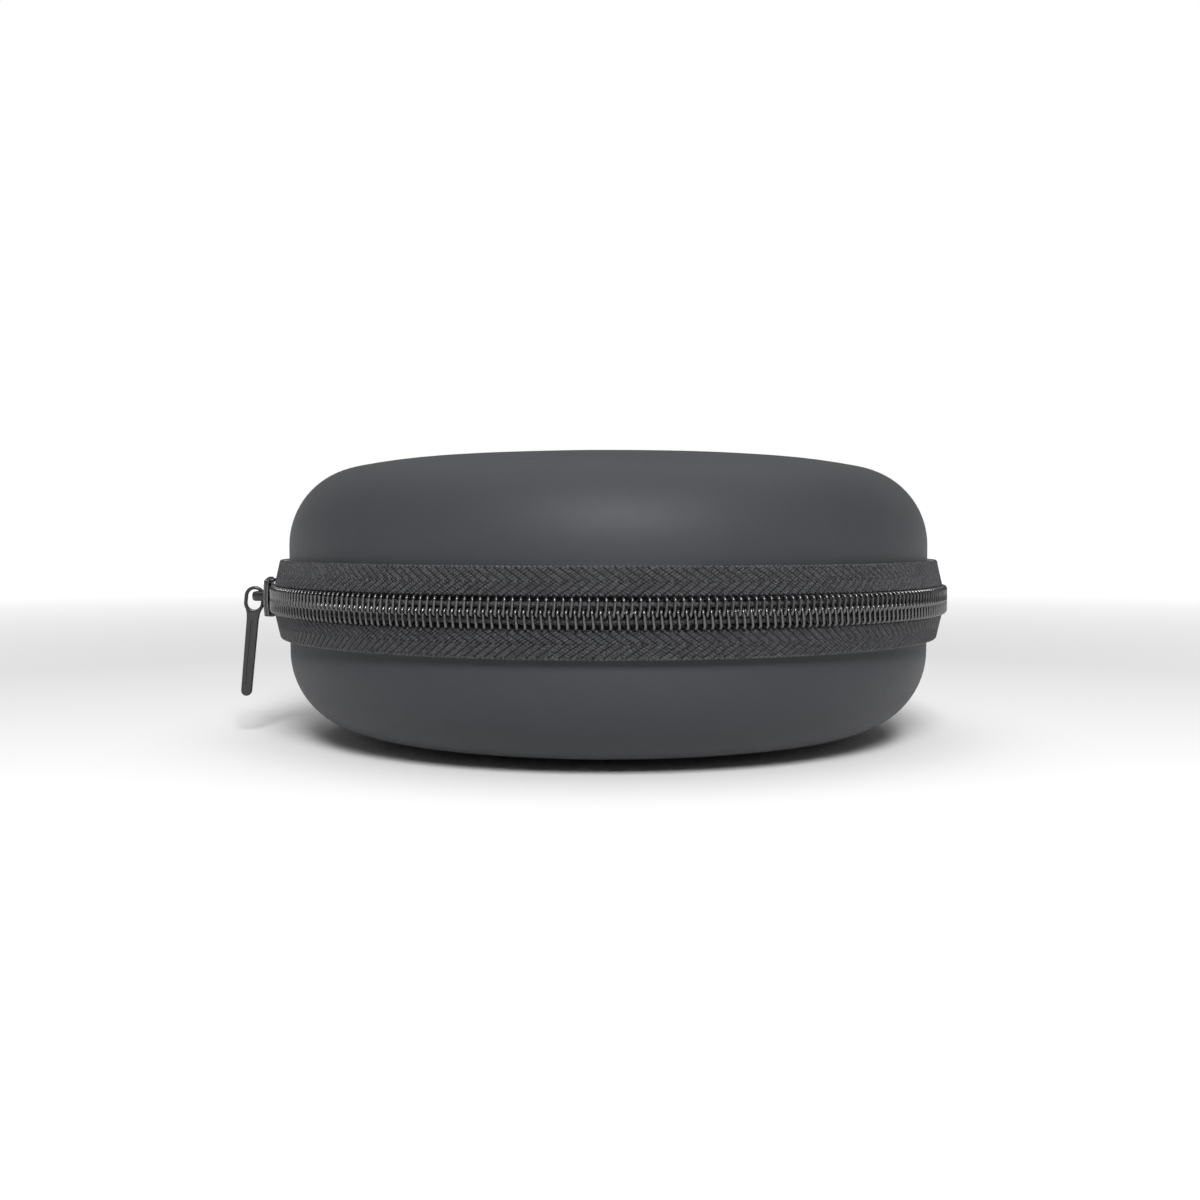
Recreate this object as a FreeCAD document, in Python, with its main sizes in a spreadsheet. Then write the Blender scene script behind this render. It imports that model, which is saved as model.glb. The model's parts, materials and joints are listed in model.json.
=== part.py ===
import FreeCAD, Part
import os

import Sketcher

# Round clamshell carrying case for folded headphones. Two moulded foam shells meet at a
# zip that runs round the wall, and a woven strip at the back joins them as the hinge.
# Units are millimetres. The origin is on the floor under the case's centre, +Z is up,
# the hinge is at +Y and the zip opens towards -Y. Both halves are drawn the same way up,
# with height 0 on the plane of the zip, and the lower one is turned over into place.

DIMENSIONS = [
    ("half_height", 34.0, "zip plane to the flat top or bottom of a shell"),
    ("wall_radius", 78.0, "outer radius of the upright wall"),
    ("corner_radius", 19.0, "rounding between the wall and the dome"),
    ("dome_radius", 140.0, "radius of the dome between the flat and the rounding"),
    ("flat_radius", 35.0, "radius of the flat disc at the middle"),
    ("shell_thickness", 5.0, "moulded foam with its skin"),
    ("lining_thickness", 0.8, "inner cloth"),
    ("rim_height", 5.0, "zip plane to the cut rim of a shell"),
    ("lip_height", 8.4, "zip plane to the far side of the lip"),
    ("lip_root_radius", 80.05, "lip radius at the rim"),
    ("lip_far_radius", 79.3, "lip radius at its far side"),
    ("tape_thickness", 0.8, "woven zip tape"),
    ("tape_edge_radius", 80.1, "outer face of the tape at its selvedge"),
    ("tape_edge_height", 9.1, "zip plane to the selvedge"),
    ("tape_fold_radius", 81.4, "outer face of the tape beside the coil"),
    ("tape_fold_height", 3.4, "zip plane to the step beside the coil"),
    ("tape_neck_height", 4.1, "zip plane to the back of that step"),
    ("tape_seat_radius", 79.95, "face of the tape that the coil is sewn to"),
    ("tape_back_radius", 79.3, "back of the tape behind the coil"),
    ("middle_gap", 0.65, "half of the gap that the slider's divider runs in"),
    ("crest_radius", 82.5, "outermost radius of the coil"),
    ("coil_seat_radius", 80.0, "back of the coil, on the tape"),
    ("coil_side_height", 3.05, "zip plane to the outer side of the coil"),
    ("coil_bevel", 0.5, "rounding of the coil's outer corners"),
    ("tape_arc", 318.0, "angle that the zip tape spans"),
    ("coil_arc", 313.0, "angle that the coil spans"),
    ("stop_thickness", 1.2, "zip end stop along the tape, in degrees"),
    ("stop_angle", 157.6, "front of the case to the middle of an end stop"),
    ("binding_thickness", 0.6, "cloth tape folded over the cut rim"),
    ("binding_radius", 77.9, "outer edge of the rim binding"),
    ("binding_leg_height", 10.0, "zip plane to the far edge of the inner leg"),
    ("thread_radius", 0.3, "seam thread"),
    ("thread_height", 8.2, "zip plane to the seam"),
    ("slack", 0.05, "room between neighbouring cloth layers"),
    ("pocket_height", 14.0, "zip plane to the mesh pocket in the lid"),
    ("pocket_thickness", 0.6, "mesh"),
    ("pocket_radius", 71.9, "outer edge of the mesh"),
    ("pocket_mouth", 5.0, "centre to the pocket's mouth, towards the hinge"),
    ("elastic_radius", 1.2, "elastic in the pocket's mouth"),
    ("elastic_half_length", 70.0, "half of the elastic's length"),
    ("edging_width", 1.2, "tape that holds the mesh to the lining"),
    ("edging_height", 2.2, "depth of that tape"),
    ("edging_arc", 166.0, "angle that it spans"),
    ("hinge_arc", 40.0, "angle that the hinge strip spans"),
    ("hinge_crest_radius", 82.5, "outer face of the hinge strip at its middle"),
    ("hinge_crest_height", 3.0, "half of its upright middle"),
    ("hinge_lining_radius", 78.6, "outer face of the inner hinge strip"),
    ("hinge_lining_height", 4.8, "half of the inner strip's width"),
    ("slider_arc", 8.6, "length of the slider, in degrees"),
    ("slider_half_width", 4.95, "half of the slider's width"),
    ("plate_radius", 84.1, "outer face of the slider"),
    ("plate_back_radius", 82.9, "roof of the slider's channel"),
    ("flange_radius", 81.75, "edge of the slider's flanges, over the tape"),
    ("flange_side_height", 3.7, "zip plane to the inner side of a flange"),
    ("heel_radius", 78.9, "outer face of the slider's inner plate"),
    ("heel_thickness", 1.0, "inner plate"),
    ("heel_half_width", 4.0, "half of the inner plate's width"),
    ("divider_half_width", 0.3, "half of the divider between the plates"),
    ("divider_arc", 2.0, "length of the divider, in degrees"),
    ("divider_angle", 3.2, "slider's middle to the divider, in degrees"),
    ("bridge_foot_radius", 83.9, "root of the bridge in the plate"),
    ("bridge_roof_radius", 87.3, "outer face of the bridge"),
    ("bridge_eaves_radius", 86.3, "inner face of the bridge"),
    ("bridge_foot_out", 3.9, "outer side of the bridge's foot"),
    ("bridge_foot_in", 2.9, "inner side of the bridge's foot"),
    ("bridge_roof_out", 3.1, "outer side of the bridge's roof"),
    ("bridge_roof_in", 2.1, "inner side of the bridge's roof"),
    ("bridge_width", 2.2, "width of the bridge across the slider"),
    ("bridge_rise", 0.3, "zip plane to the middle of the bridge"),
    ("pivot_radius", 86.8, "axis that the pull turns about"),
    ("slider_polar", 119.0, "slider's place when the zip is closed, about +Z from +X"),
    ("pull_eye_radius", 2.4, "outer radius of the pull's eye"),
    ("pull_hole_radius", 1.6, "half width of the hole in the eye"),
    ("pull_hole_reach", 1.8, "axis to the centre of the hole's lower end"),
    ("pull_shoulder", 5.2, "axis to where the eye runs into the bar"),
    ("pull_bar_radius", 1.35, "half width of the bar"),
    ("pull_reach", 23.25, "axis to the centre of the bar's round end"),
    ("pull_thickness", 1.4, "thickness of the pull"),
    ("groove_half_width", 0.35, "half width of the groove along the bar"),
    ("groove_depth", 0.3, "depth of the groove in each face"),
    ("groove_top", 6.4, "axis to the groove's upper end"),
    ("groove_end", 21.4, "axis to the groove's lower end"),
    ("pull_lean", 5.5, "outward lean of the hanging pull, in degrees"),
]

UP = FreeCAD.Vector(0, 0, 1)
ACROSS = FreeCAD.Vector(1, 0, 0)
ALONG = FreeCAD.Vector(0, 1, 0)
ORIGIN_POINT = (-1, 1)
HORIZONTAL_AXIS = -1
VERTICAL_AXIS = -2
START = 1
END = 2

doc = FreeCAD.newDocument("carrying_case")
sheet = doc.addObject("Spreadsheet::Sheet", "Dimensions")
sub_parts = []


def fill_sheet():
    """Write the driving dimensions, one row each: what it is, its value, its alias."""
    for row, (alias, value, meaning) in enumerate(DIMENSIONS, start=1):
        sheet.set(f"A{row}", meaning)
        sheet.set(f"B{row}", str(value))
        sheet.setAlias(f"B{row}", alias)
    doc.recompute()


def size(*names):
    """Value and expression of a sum of cells. A name that starts with - is taken away."""
    value = 0.0
    text = ""
    for name in names:
        sign = "-" if name.startswith("-") else "+"
        alias = name.lstrip("-")
        value += float(f"{sign}1") * sheet.get(alias)
        text += f" {sign} Dimensions.{alias}"
    return value, "0" + text


def new_body(label):
    body = doc.addObject("PartDesign::Body", label)
    body.Label = label
    sub_parts.append(body)
    return body


def new_sketch(body, name, plane="XZ_Plane"):
    """Sketch on one of the body's own planes. On XZ its x is radius and its y is height."""
    sketch = body.newObject("Sketcher::SketchObject", name)
    planes = [item for item in body.Origin.OriginFeatures if item.Role == plane]
    sketch.AttachmentSupport = (planes[0], [""])
    sketch.MapMode = "FlatFace"
    return sketch


def bind(sketch, constraint, expression):
    """Add a dimension and bind it to the sheet."""
    index = sketch.addConstraint(constraint)
    sketch.setExpression(f"Constraints[{index}]", expression)


def pin(sketch, edge, end, kind, measure):
    """Hold one coordinate of a point of the sketch at a signed distance from its origin."""
    value, expression = measure
    if abs(value) < 1e-9:
        axis = VERTICAL_AXIS if kind == "DistanceX" else HORIZONTAL_AXIS
        sketch.addConstraint(Sketcher.Constraint("PointOnObject", edge, end, axis))
    elif value > 0:
        bind(sketch, Sketcher.Constraint(kind, *ORIGIN_POINT, edge, end, value), expression)
    else:
        away = Sketcher.Constraint(kind, edge, end, *ORIGIN_POINT, -value)
        bind(sketch, away, f"-({expression})")


def add_polygon(sketch, corners):
    """Closed outline of straight lines through corners, each an (x, y) pair of sizes."""
    points = [FreeCAD.Vector(x[0], y[0], 0) for x, y in corners]
    first = sketch.GeometryCount
    count = len(points)
    for number in range(count):
        line = Part.LineSegment(points[number], points[(number + 1) % count])
        sketch.addGeometry(line, False)
    for number in range(count):
        after = first + (number + 1) % count
        joint = Sketcher.Constraint("Coincident", first + number, END, after, START)
        sketch.addConstraint(joint)
    for number, (x, y) in enumerate(corners):
        pin(sketch, first + number, START, "DistanceX", x)
        pin(sketch, first + number, START, "DistanceY", y)


def revolve(body, sketch, arc=None):
    """Turn a sketch about Z: all the way round, or half of an arc to each side of it."""
    feature = body.newObject("PartDesign::Revolution", sketch.Name + "_turn")
    feature.Profile = sketch
    feature.ReferenceAxis = (sketch, ["V_Axis"])
    feature.Angle = 360.0
    if arc:
        feature.Midplane = True
        feature.setExpression("Angle", f"Dimensions.{arc}")
    sketch.Visibility = False
    doc.recompute()
    return feature


def pad(body, sketch, length):
    """Raise a sketch by a cell's length, half to each side of its plane."""
    feature = body.newObject("PartDesign::Pad", sketch.Name + "_pad")
    feature.Profile = sketch
    feature.Midplane = True
    feature.setExpression("Length", f"Dimensions.{length}")
    doc.recompute()
    return feature


def turned_ring(label, corners, arc=None):
    """A sub-part that is one straight-sided section turned about the case's axis."""
    body = new_body(label)
    sketch = new_sketch(body, label + "_section")
    add_polygon(sketch, corners)
    revolve(body, sketch, arc)
    return body


def place_half(body, lid):
    """Turn the gap at the end of the section's arc to the hinge, and turn the base over."""
    turn = FreeCAD.Rotation(UP, -90)
    if not lid:
        turn = turn.multiply(FreeCAD.Rotation(ACROSS, 180))
    body.Placement = FreeCAD.Placement(FreeCAD.Vector(0, 0, sheet.half_height), turn)


# --- the moulded shells and what lines them -------------------------------------------

def bowl_line(sketch, depth):
    """Outline of the bowl from the axis down to the rim, at a depth below the outer face.

    Returns the index of its first edge: a flat, a dome arc, a rounding and the wall.
    """
    top = size("half_height", *depth)
    flat = size("flat_radius")
    dome = size("dome_radius", *depth)
    rounding = size("corner_radius", *depth)
    wall = size("wall_radius", *depth)
    rim = size("rim_height")
    sideways = (wall[0] - rounding[0] - flat[0]) / (dome[0] - rounding[0])
    upright = (1 - sideways**2) ** 0.5
    lean = FreeCAD.Vector(upright, sideways, 0).getAngle(FreeCAD.Vector(0, 1, 0))
    dome_centre = FreeCAD.Vector(flat[0], top[0] - dome[0], 0)
    reach = dome[0] - rounding[0]
    centre = dome_centre + FreeCAD.Vector(reach * sideways, reach * upright, 0)
    wall_top = FreeCAD.Vector(wall[0], centre.y, 0)
    quarter = FreeCAD.Vector(1, 0, 0).getAngle(FreeCAD.Vector(0, 1, 0))
    first = sketch.GeometryCount
    start = FreeCAD.Vector(0, top[0], 0)
    sketch.addGeometry(Part.LineSegment(start, FreeCAD.Vector(flat[0], top[0], 0)), False)
    circle = Part.Circle(dome_centre, UP, dome[0])
    sketch.addGeometry(Part.ArcOfCircle(circle, lean, quarter), False)
    circle = Part.Circle(centre, UP, rounding[0])
    sketch.addGeometry(Part.ArcOfCircle(circle, 0, lean), False)
    sketch.addGeometry(Part.LineSegment(wall_top, FreeCAD.Vector(wall[0], rim[0], 0)), False)
    dome_arc, round_arc, upright_line = first + 1, first + 2, first + 3
    sketch.addConstraint([
        Sketcher.Constraint("PointOnObject", first, START, VERTICAL_AXIS),
        Sketcher.Constraint("Horizontal", first),
        Sketcher.Constraint("Tangent", first, END, dome_arc, END),
        Sketcher.Constraint("Tangent", dome_arc, START, round_arc, END),
        Sketcher.Constraint("Tangent", round_arc, START, upright_line, START),
        Sketcher.Constraint("Vertical", upright_line),
    ])
    pin(sketch, first, END, "DistanceX", flat)
    pin(sketch, first, END, "DistanceY", top)
    bind(sketch, Sketcher.Constraint("Radius", dome_arc, dome[0]), dome[1])
    bind(sketch, Sketcher.Constraint("Radius", round_arc, rounding[0]), rounding[1])
    pin(sketch, upright_line, END, "DistanceX", wall)
    pin(sketch, upright_line, END, "DistanceY", rim)
    return first


def close_bowl(sketch, outer, inner):
    """Join an outer and an inner bowl line at the rim and along the axis."""
    for one, other, end in ((outer + 3, inner + 3, END), (outer, inner, START)):
        line = sketch.addGeometry(
            Part.LineSegment(sketch.getPoint(one, end), sketch.getPoint(other, end)), False
        )
        sketch.addConstraint(Sketcher.Constraint("Coincident", line, START, one, end))
        sketch.addConstraint(Sketcher.Constraint("Coincident", line, END, other, end))


def bowl(label, outer_depth, inner_depth):
    """A layer of the shell between two depths below its outer face."""
    body = new_body(label)
    sketch = new_sketch(body, label + "_section")
    outer = bowl_line(sketch, outer_depth)
    inner = bowl_line(sketch, inner_depth)
    close_bowl(sketch, outer, inner)
    revolve(body, sketch)
    return body


def shell(label):
    """Moulded foam shell with the outward lip that the zip tape lies on."""
    body = bowl(label, (), ("-shell_thickness",))
    lip = new_sketch(body, label + "_lip")
    inside = size("wall_radius", "-lining_thickness")
    add_polygon(lip, [
        (inside, size("rim_height")),
        (size("lip_root_radius"), size("rim_height")),
        (size("lip_far_radius"), size("lip_height")),
        (inside, size("lip_height")),
    ])
    revolve(body, lip)
    return body


def lining(label):
    depth = ("-shell_thickness", "-lining_thickness")
    return bowl(label, ("-shell_thickness", "-slack"), depth)


def rim_binding(label):
    """Cloth tape over the cut rim, with a leg up the inside over the lining's edge."""
    rim = size("rim_height", "-slack")
    bottom = size("rim_height", "-slack", "-binding_thickness")
    outer = size("wall_radius", "-shell_thickness", "-lining_thickness", "-slack")
    inner = size(
        "wall_radius", "-shell_thickness", "-lining_thickness", "-slack", "-binding_thickness"
    )
    leg = size("binding_leg_height")
    return turned_ring(label, [
        (size("binding_radius"), bottom),
        (size("binding_radius"), rim),
        (outer, rim),
        (outer, leg),
        (inner, leg),
        (inner, bottom),
    ])


def seam_thread(label):
    """Seam round the inner leg of the rim binding."""
    body = new_body(label)
    sketch = new_sketch(body, label + "_section")
    across = size(
        "wall_radius", "-shell_thickness", "-lining_thickness", "-binding_thickness",
        "-slack", "-slack", "-thread_radius",
    )
    upward = size("thread_height")
    radius = size("thread_radius")
    middle = FreeCAD.Vector(across[0], upward[0], 0)
    circle = sketch.addGeometry(Part.Circle(middle, UP, radius[0]), False)
    centre_point = 3
    pin(sketch, circle, centre_point, "DistanceX", across)
    pin(sketch, circle, centre_point, "DistanceY", upward)
    bind(sketch, Sketcher.Constraint("Radius", circle, radius[0]), radius[1])
    revolve(body, sketch)
    return body


# --- the zip --------------------------------------------------------------------------

def zip_tape(label):
    """Woven tape: sloping band over the lip, and a seat stepped in behind the coil."""
    return turned_ring(label, [
        (size("tape_edge_radius"), size("tape_edge_height")),
        (size("tape_fold_radius"), size("tape_fold_height")),
        (size("tape_seat_radius"), size("tape_fold_height")),
        (size("tape_seat_radius"), size("middle_gap")),
        (size("tape_back_radius"), size("middle_gap")),
        (size("tape_back_radius"), size("tape_neck_height")),
        (size("tape_fold_radius", "-tape_thickness"), size("tape_neck_height")),
        (size("tape_edge_radius", "-tape_thickness"), size("tape_edge_height")),
    ], "tape_arc")


def coil_section():
    """One side of the coil, clear of the middle so that the slider's divider can pass."""
    return [
        (size("coil_seat_radius"), size("middle_gap")),
        (size("crest_radius", "-coil_bevel"), size("middle_gap")),
        (size("crest_radius"), size("middle_gap", "coil_bevel")),
        (size("crest_radius"), size("coil_side_height", "-coil_bevel")),
        (size("crest_radius", "-coil_bevel"), size("coil_side_height")),
        (size("coil_seat_radius"), size("coil_side_height")),
    ]


def zip_coil(label):
    return turned_ring(label, coil_section(), "coil_arc")


def zip_stops(label):
    """End stops clipped on the tape's edge, one past each end of the coil."""
    body = new_body(label)
    first = new_sketch(body, label + "_section")
    add_polygon(first, coil_section())
    turn = revolve(body, first, "stop_thickness")
    both = body.newObject("PartDesign::PolarPattern", label + "_pair")
    both.Originals = [turn]
    both.Axis = (first, ["V_Axis"])
    both.Occurrences = 2
    both.setExpression("Angle", "2 * Dimensions.stop_angle")
    body.Tip = both
    return body


def place_stops(body, lid):
    """Turn the pair so that it is even about the front."""
    place_half(body, lid)
    back = FreeCAD.Rotation(UP, -sheet.stop_angle if lid else sheet.stop_angle)
    base = body.Placement
    body.Placement = FreeCAD.Placement(base.Base, back.multiply(base.Rotation))


def build_half(name, lid):
    """Every layer of one half of the case, the lid or the base."""
    halves = [
        shell(name + "_shell"),
        lining(name + "_lining"),
        rim_binding(name + "_rim_binding"),
        seam_thread(name + "_seam_thread"),
        zip_tape(name + "_zip_tape"),
        zip_coil(name + "_zip_coil"),
    ]
    for body in halves:
        place_half(body, lid)
    place_stops(zip_stops(name + "_zip_stops"), lid)


# --- the pocket in the lid ------------------------------------------------------------

def mesh_pocket():
    """Mesh across the front of the lid, straight at the mouth and round at the wall."""
    body = new_body("mesh_pocket")
    sketch = new_sketch(body, "mesh_outline", "XY_Plane")
    radius = size("pocket_radius")
    mouth = size("-pocket_mouth")
    half = (radius[0] ** 2 - mouth[0] ** 2) ** 0.5
    low = FreeCAD.Vector(mouth[0], -half, 0)
    high = FreeCAD.Vector(mouth[0], half, 0)
    front = FreeCAD.Vector(radius[0], 0, 0)
    arc = sketch.addGeometry(Part.Arc(low, front, high), False)
    chord = sketch.addGeometry(Part.LineSegment(high, low), False)
    sketch.addConstraint([
        Sketcher.Constraint("Coincident", arc, 3, *ORIGIN_POINT),
        Sketcher.Constraint("Coincident", arc, END, chord, START),
        Sketcher.Constraint("Coincident", chord, END, arc, START),
        Sketcher.Constraint("Vertical", chord),
    ])
    bind(sketch, Sketcher.Constraint("Radius", arc, radius[0]), radius[1])
    pin(sketch, chord, START, "DistanceX", mouth)
    pad(body, sketch, "pocket_thickness")
    place_half(body, True)
    body.Placement.Base = body.Placement.Base + UP * sheet.pocket_height


def pocket_elastic():
    """Round elastic along the mouth of the pocket, beside the mesh's edge."""
    cylinder = doc.addObject("Part::Cylinder", "pocket_elastic")
    cylinder.Label = "pocket_elastic"
    cylinder.setExpression("Radius", "Dimensions.elastic_radius")
    cylinder.setExpression("Height", "2 * Dimensions.elastic_half_length")
    back = sheet.pocket_mouth + sheet.elastic_radius + sheet.slack
    place = FreeCAD.Vector(
        -sheet.elastic_half_length, back, sheet.half_height + sheet.pocket_height
    )
    cylinder.Placement = FreeCAD.Placement(place, FreeCAD.Rotation(ALONG, 90))
    sub_parts.append(cylinder)


def pocket_edging():
    """Tape that holds the round edge of the mesh to the lining."""
    low = size("pocket_height", "pocket_thickness")
    high = size("pocket_height", "pocket_thickness", "edging_height")
    inner = size("pocket_radius", "-edging_width", "-edging_width")
    outer = size("pocket_radius", "-edging_width")
    corners = [(inner, low), (outer, low), (outer, high), (inner, high)]
    place_half(turned_ring("pocket_edging", corners, "edging_arc"), True)


# --- the hinge ------------------------------------------------------------------------

def hinge_strips():
    """Woven strip over both lips at the back, and the thin strip that lines it inside."""
    crest = size("hinge_crest_radius")
    crest_back = size("hinge_crest_radius", "-tape_thickness")
    edge = size("tape_edge_radius")
    edge_back = size("tape_edge_radius", "-tape_thickness")
    outer = turned_ring("hinge_fabric", [
        (edge, size("tape_edge_height")),
        (crest, size("hinge_crest_height")),
        (crest, size("-hinge_crest_height")),
        (edge, size("-tape_edge_height")),
        (edge_back, size("-tape_edge_height")),
        (crest_back, size("-hinge_crest_height")),
        (crest_back, size("hinge_crest_height")),
        (edge_back, size("tape_edge_height")),
    ], "hinge_arc")
    face = size("hinge_lining_radius")
    back = size("hinge_lining_radius", "-binding_thickness")
    inner = turned_ring("hinge_lining", [
        (face, size("hinge_lining_height")),
        (face, size("-hinge_lining_height")),
        (back, size("-hinge_lining_height")),
        (back, size("hinge_lining_height")),
    ], "hinge_arc")
    for body in (outer, inner):
        height = FreeCAD.Vector(0, 0, sheet.half_height)
        body.Placement = FreeCAD.Placement(height, FreeCAD.Rotation(UP, 90))


# --- the slider and its pull ----------------------------------------------------------

def slider_place():
    """The slider is drawn at +X and turned to its place on the zip."""
    height = FreeCAD.Vector(0, 0, sheet.half_height)
    return FreeCAD.Placement(height, FreeCAD.Rotation(UP, sheet.slider_polar))


def slider_plates(body):
    """Outer plate with a flange along each side, turned down over the tapes."""
    plate = size("plate_radius")
    roof = size("plate_back_radius")
    flange = size("flange_radius")
    side = size("slider_half_width")
    channel = size("flange_side_height")
    minus_side = size("-slider_half_width")
    minus_channel = size("-flange_side_height")
    outer = new_sketch(body, "slider_roof")
    add_polygon(outer, [
        (plate, minus_side), (plate, side), (flange, side), (flange, channel),
        (roof, channel), (roof, minus_channel), (flange, minus_channel),
        (flange, minus_side),
    ])
    revolve(body, outer, "slider_arc")


def slider_divider(body):
    """Web that parts the two coils and carries the inner plate, at the closing end."""
    web = new_sketch(body, "slider_web")
    web.AttachmentOffset = FreeCAD.Placement(
        FreeCAD.Vector(), FreeCAD.Rotation(ALONG, -sheet.divider_angle)
    )
    half = size("divider_half_width")
    minus_half = size("-divider_half_width")
    sunk = size("plate_back_radius", "divider_half_width")
    deep = size("heel_radius", "-divider_half_width")
    add_polygon(web, [(deep, minus_half), (sunk, minus_half), (sunk, half), (deep, half)])
    revolve(body, web, "divider_arc")


def slider_heel(body):
    """Inner plate, behind the tapes."""
    heel = size("heel_radius")
    back = size("heel_radius", "-heel_thickness")
    side = size("heel_half_width")
    minus_side = size("-heel_half_width")
    inner = new_sketch(body, "slider_heel")
    add_polygon(inner, [(back, minus_side), (heel, minus_side), (heel, side), (back, side)])
    revolve(body, inner, "slider_arc")


def slider_bridge(body):
    """Arch along the slider that the pull's eye hangs on."""
    foot = size("bridge_foot_radius")
    roof = size("bridge_roof_radius")
    eaves = size("bridge_eaves_radius")
    arch = new_sketch(body, "slider_arch", "XY_Plane")
    arch.AttachmentOffset = FreeCAD.Placement(
        FreeCAD.Vector(0, 0, sheet.bridge_rise), FreeCAD.Rotation()
    )
    add_polygon(arch, [
        (foot, size("-bridge_foot_out")),
        (roof, size("-bridge_roof_out")),
        (roof, size("bridge_roof_out")),
        (foot, size("bridge_foot_out")),
        (foot, size("bridge_foot_in")),
        (eaves, size("bridge_roof_in")),
        (eaves, size("-bridge_roof_in")),
        (foot, size("-bridge_foot_in")),
    ])
    pad(body, arch, "bridge_width")


def slider():
    body = new_body("slider_body")
    slider_plates(body)
    slider_divider(body)
    slider_heel(body)
    slider_bridge(body)
    body.Placement = slider_place()


def slot(sketch, top, bottom, radius):
    """Upright slot with round ends, between two centres on the sketch's y axis."""
    wide = radius[0]
    high = FreeCAD.Vector(0, top[0], 0)
    low = FreeCAD.Vector(0, bottom[0], 0)
    side = FreeCAD.Vector(wide, 0, 0)
    rise = FreeCAD.Vector(0, wide, 0)
    upper = sketch.addGeometry(Part.Arc(high + side, high + rise, high - side), False)
    left = sketch.addGeometry(Part.LineSegment(high - side, low - side), False)
    lower = sketch.addGeometry(Part.Arc(low - side, low - rise, low + side), False)
    right = sketch.addGeometry(Part.LineSegment(low + side, high + side), False)
    sketch.addConstraint([
        Sketcher.Constraint("Tangent", upper, END, left, START),
        Sketcher.Constraint("Tangent", left, END, lower, START),
        Sketcher.Constraint("Tangent", lower, END, right, START),
        Sketcher.Constraint("Tangent", right, END, upper, START),
        Sketcher.Constraint("Vertical", left),
    ])
    bind(sketch, Sketcher.Constraint("Radius", upper, wide), radius[1])
    centre_point = 3
    pin(sketch, upper, centre_point, "DistanceX", (0.0, "0"))
    pin(sketch, upper, centre_point, "DistanceY", top)
    pin(sketch, lower, centre_point, "DistanceY", bottom)


def pull_tab():
    """Slim pull: an eye round the bridge, and a grooved bar that hangs from it."""
    body = new_body("pull_tab")
    eye = new_sketch(body, "pull_eye")
    slot(eye, (0.0, "0"), size("-pull_hole_reach"), size("pull_eye_radius"))
    pad(body, eye, "pull_thickness")
    bar = new_sketch(body, "pull_bar")
    slot(bar, size("-pull_shoulder", "pull_hole_radius"), size("-pull_reach"),
         size("pull_bar_radius"))
    pad(body, bar, "pull_thickness")
    hole = new_sketch(body, "pull_hole")
    slot(hole, (0.0, "0"), size("-pull_hole_reach"), size("pull_hole_radius"))
    cut = body.newObject("PartDesign::Pocket", "pull_hole_cut")
    cut.Profile = hole
    cut.Type = "ThroughAll"
    cut.Midplane = True
    doc.recompute()
    for side in (-1, 1):
        cut_groove(body, side)
    lean = FreeCAD.Rotation(ALONG, -sheet.pull_lean)
    pivot = FreeCAD.Vector(sheet.pivot_radius, 0, sheet.bridge_rise)
    body.Placement = slider_place().multiply(FreeCAD.Placement(pivot, lean))


def cut_groove(body, side):
    """Shallow groove along one face of the bar, and the volume it takes away checked."""
    name = "front" if side > 0 else "back"
    groove = new_sketch(body, f"pull_groove_{name}")
    outward = FreeCAD.Vector(0, 0, side * sheet.pull_thickness / 2)
    groove.AttachmentOffset = FreeCAD.Placement(outward, FreeCAD.Rotation())
    slot(groove, size("-groove_top"), size("-groove_end"), size("groove_half_width"))
    before = body.Shape.Volume
    cut = body.newObject("PartDesign::Pocket", f"pull_groove_{name}_cut")
    cut.Profile = groove
    cut.Reversed = side < 0
    cut.setExpression("Length", "Dimensions.groove_depth")
    doc.recompute()
    if body.Shape.Volume >= before:
        raise RuntimeError(f"{cut.Name} took nothing away")


def check_and_export():
    """Stop on a failed object or a bad shape, then write each sub-part as a STEP file."""
    doc.recompute()
    for item in doc.Objects:
        if {"Invalid", "Error"} & set(item.State):
            raise RuntimeError(f"{item.Name}: {item.State}")
    for item in sub_parts:
        if item.Shape.isNull() or not item.Shape.isValid():
            raise RuntimeError(f"{item.Label} has no valid shape")
    os.makedirs("parts", exist_ok=True)
    for item in sub_parts:
        item.Shape.exportStep(f"parts/{item.Label}.step")
        solids = len(item.Shape.Solids)
        print(f"{item.Label:20} {solids} solid(s) {item.Shape.Volume / 1000:8.2f} cm3")


fill_sheet()
build_half("base", lid=False)
build_half("lid", lid=True)
mesh_pocket()
pocket_elastic()
pocket_edging()
hinge_strips()
slider()
pull_tab()
check_and_export()
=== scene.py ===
"""Round zip-up carrying case for folded headphones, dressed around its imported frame.

Two moulded shells meet at a coil zip that runs round the wall. Each class below builds one
sub-assembly of the case, in metres and in the frame's own axes: +Z up, front at -Y, hinge at +Y.
"""

import json
import logging
import math
from dataclasses import dataclass, field
from enum import Enum
from typing import Callable, Iterable, Sequence

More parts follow.
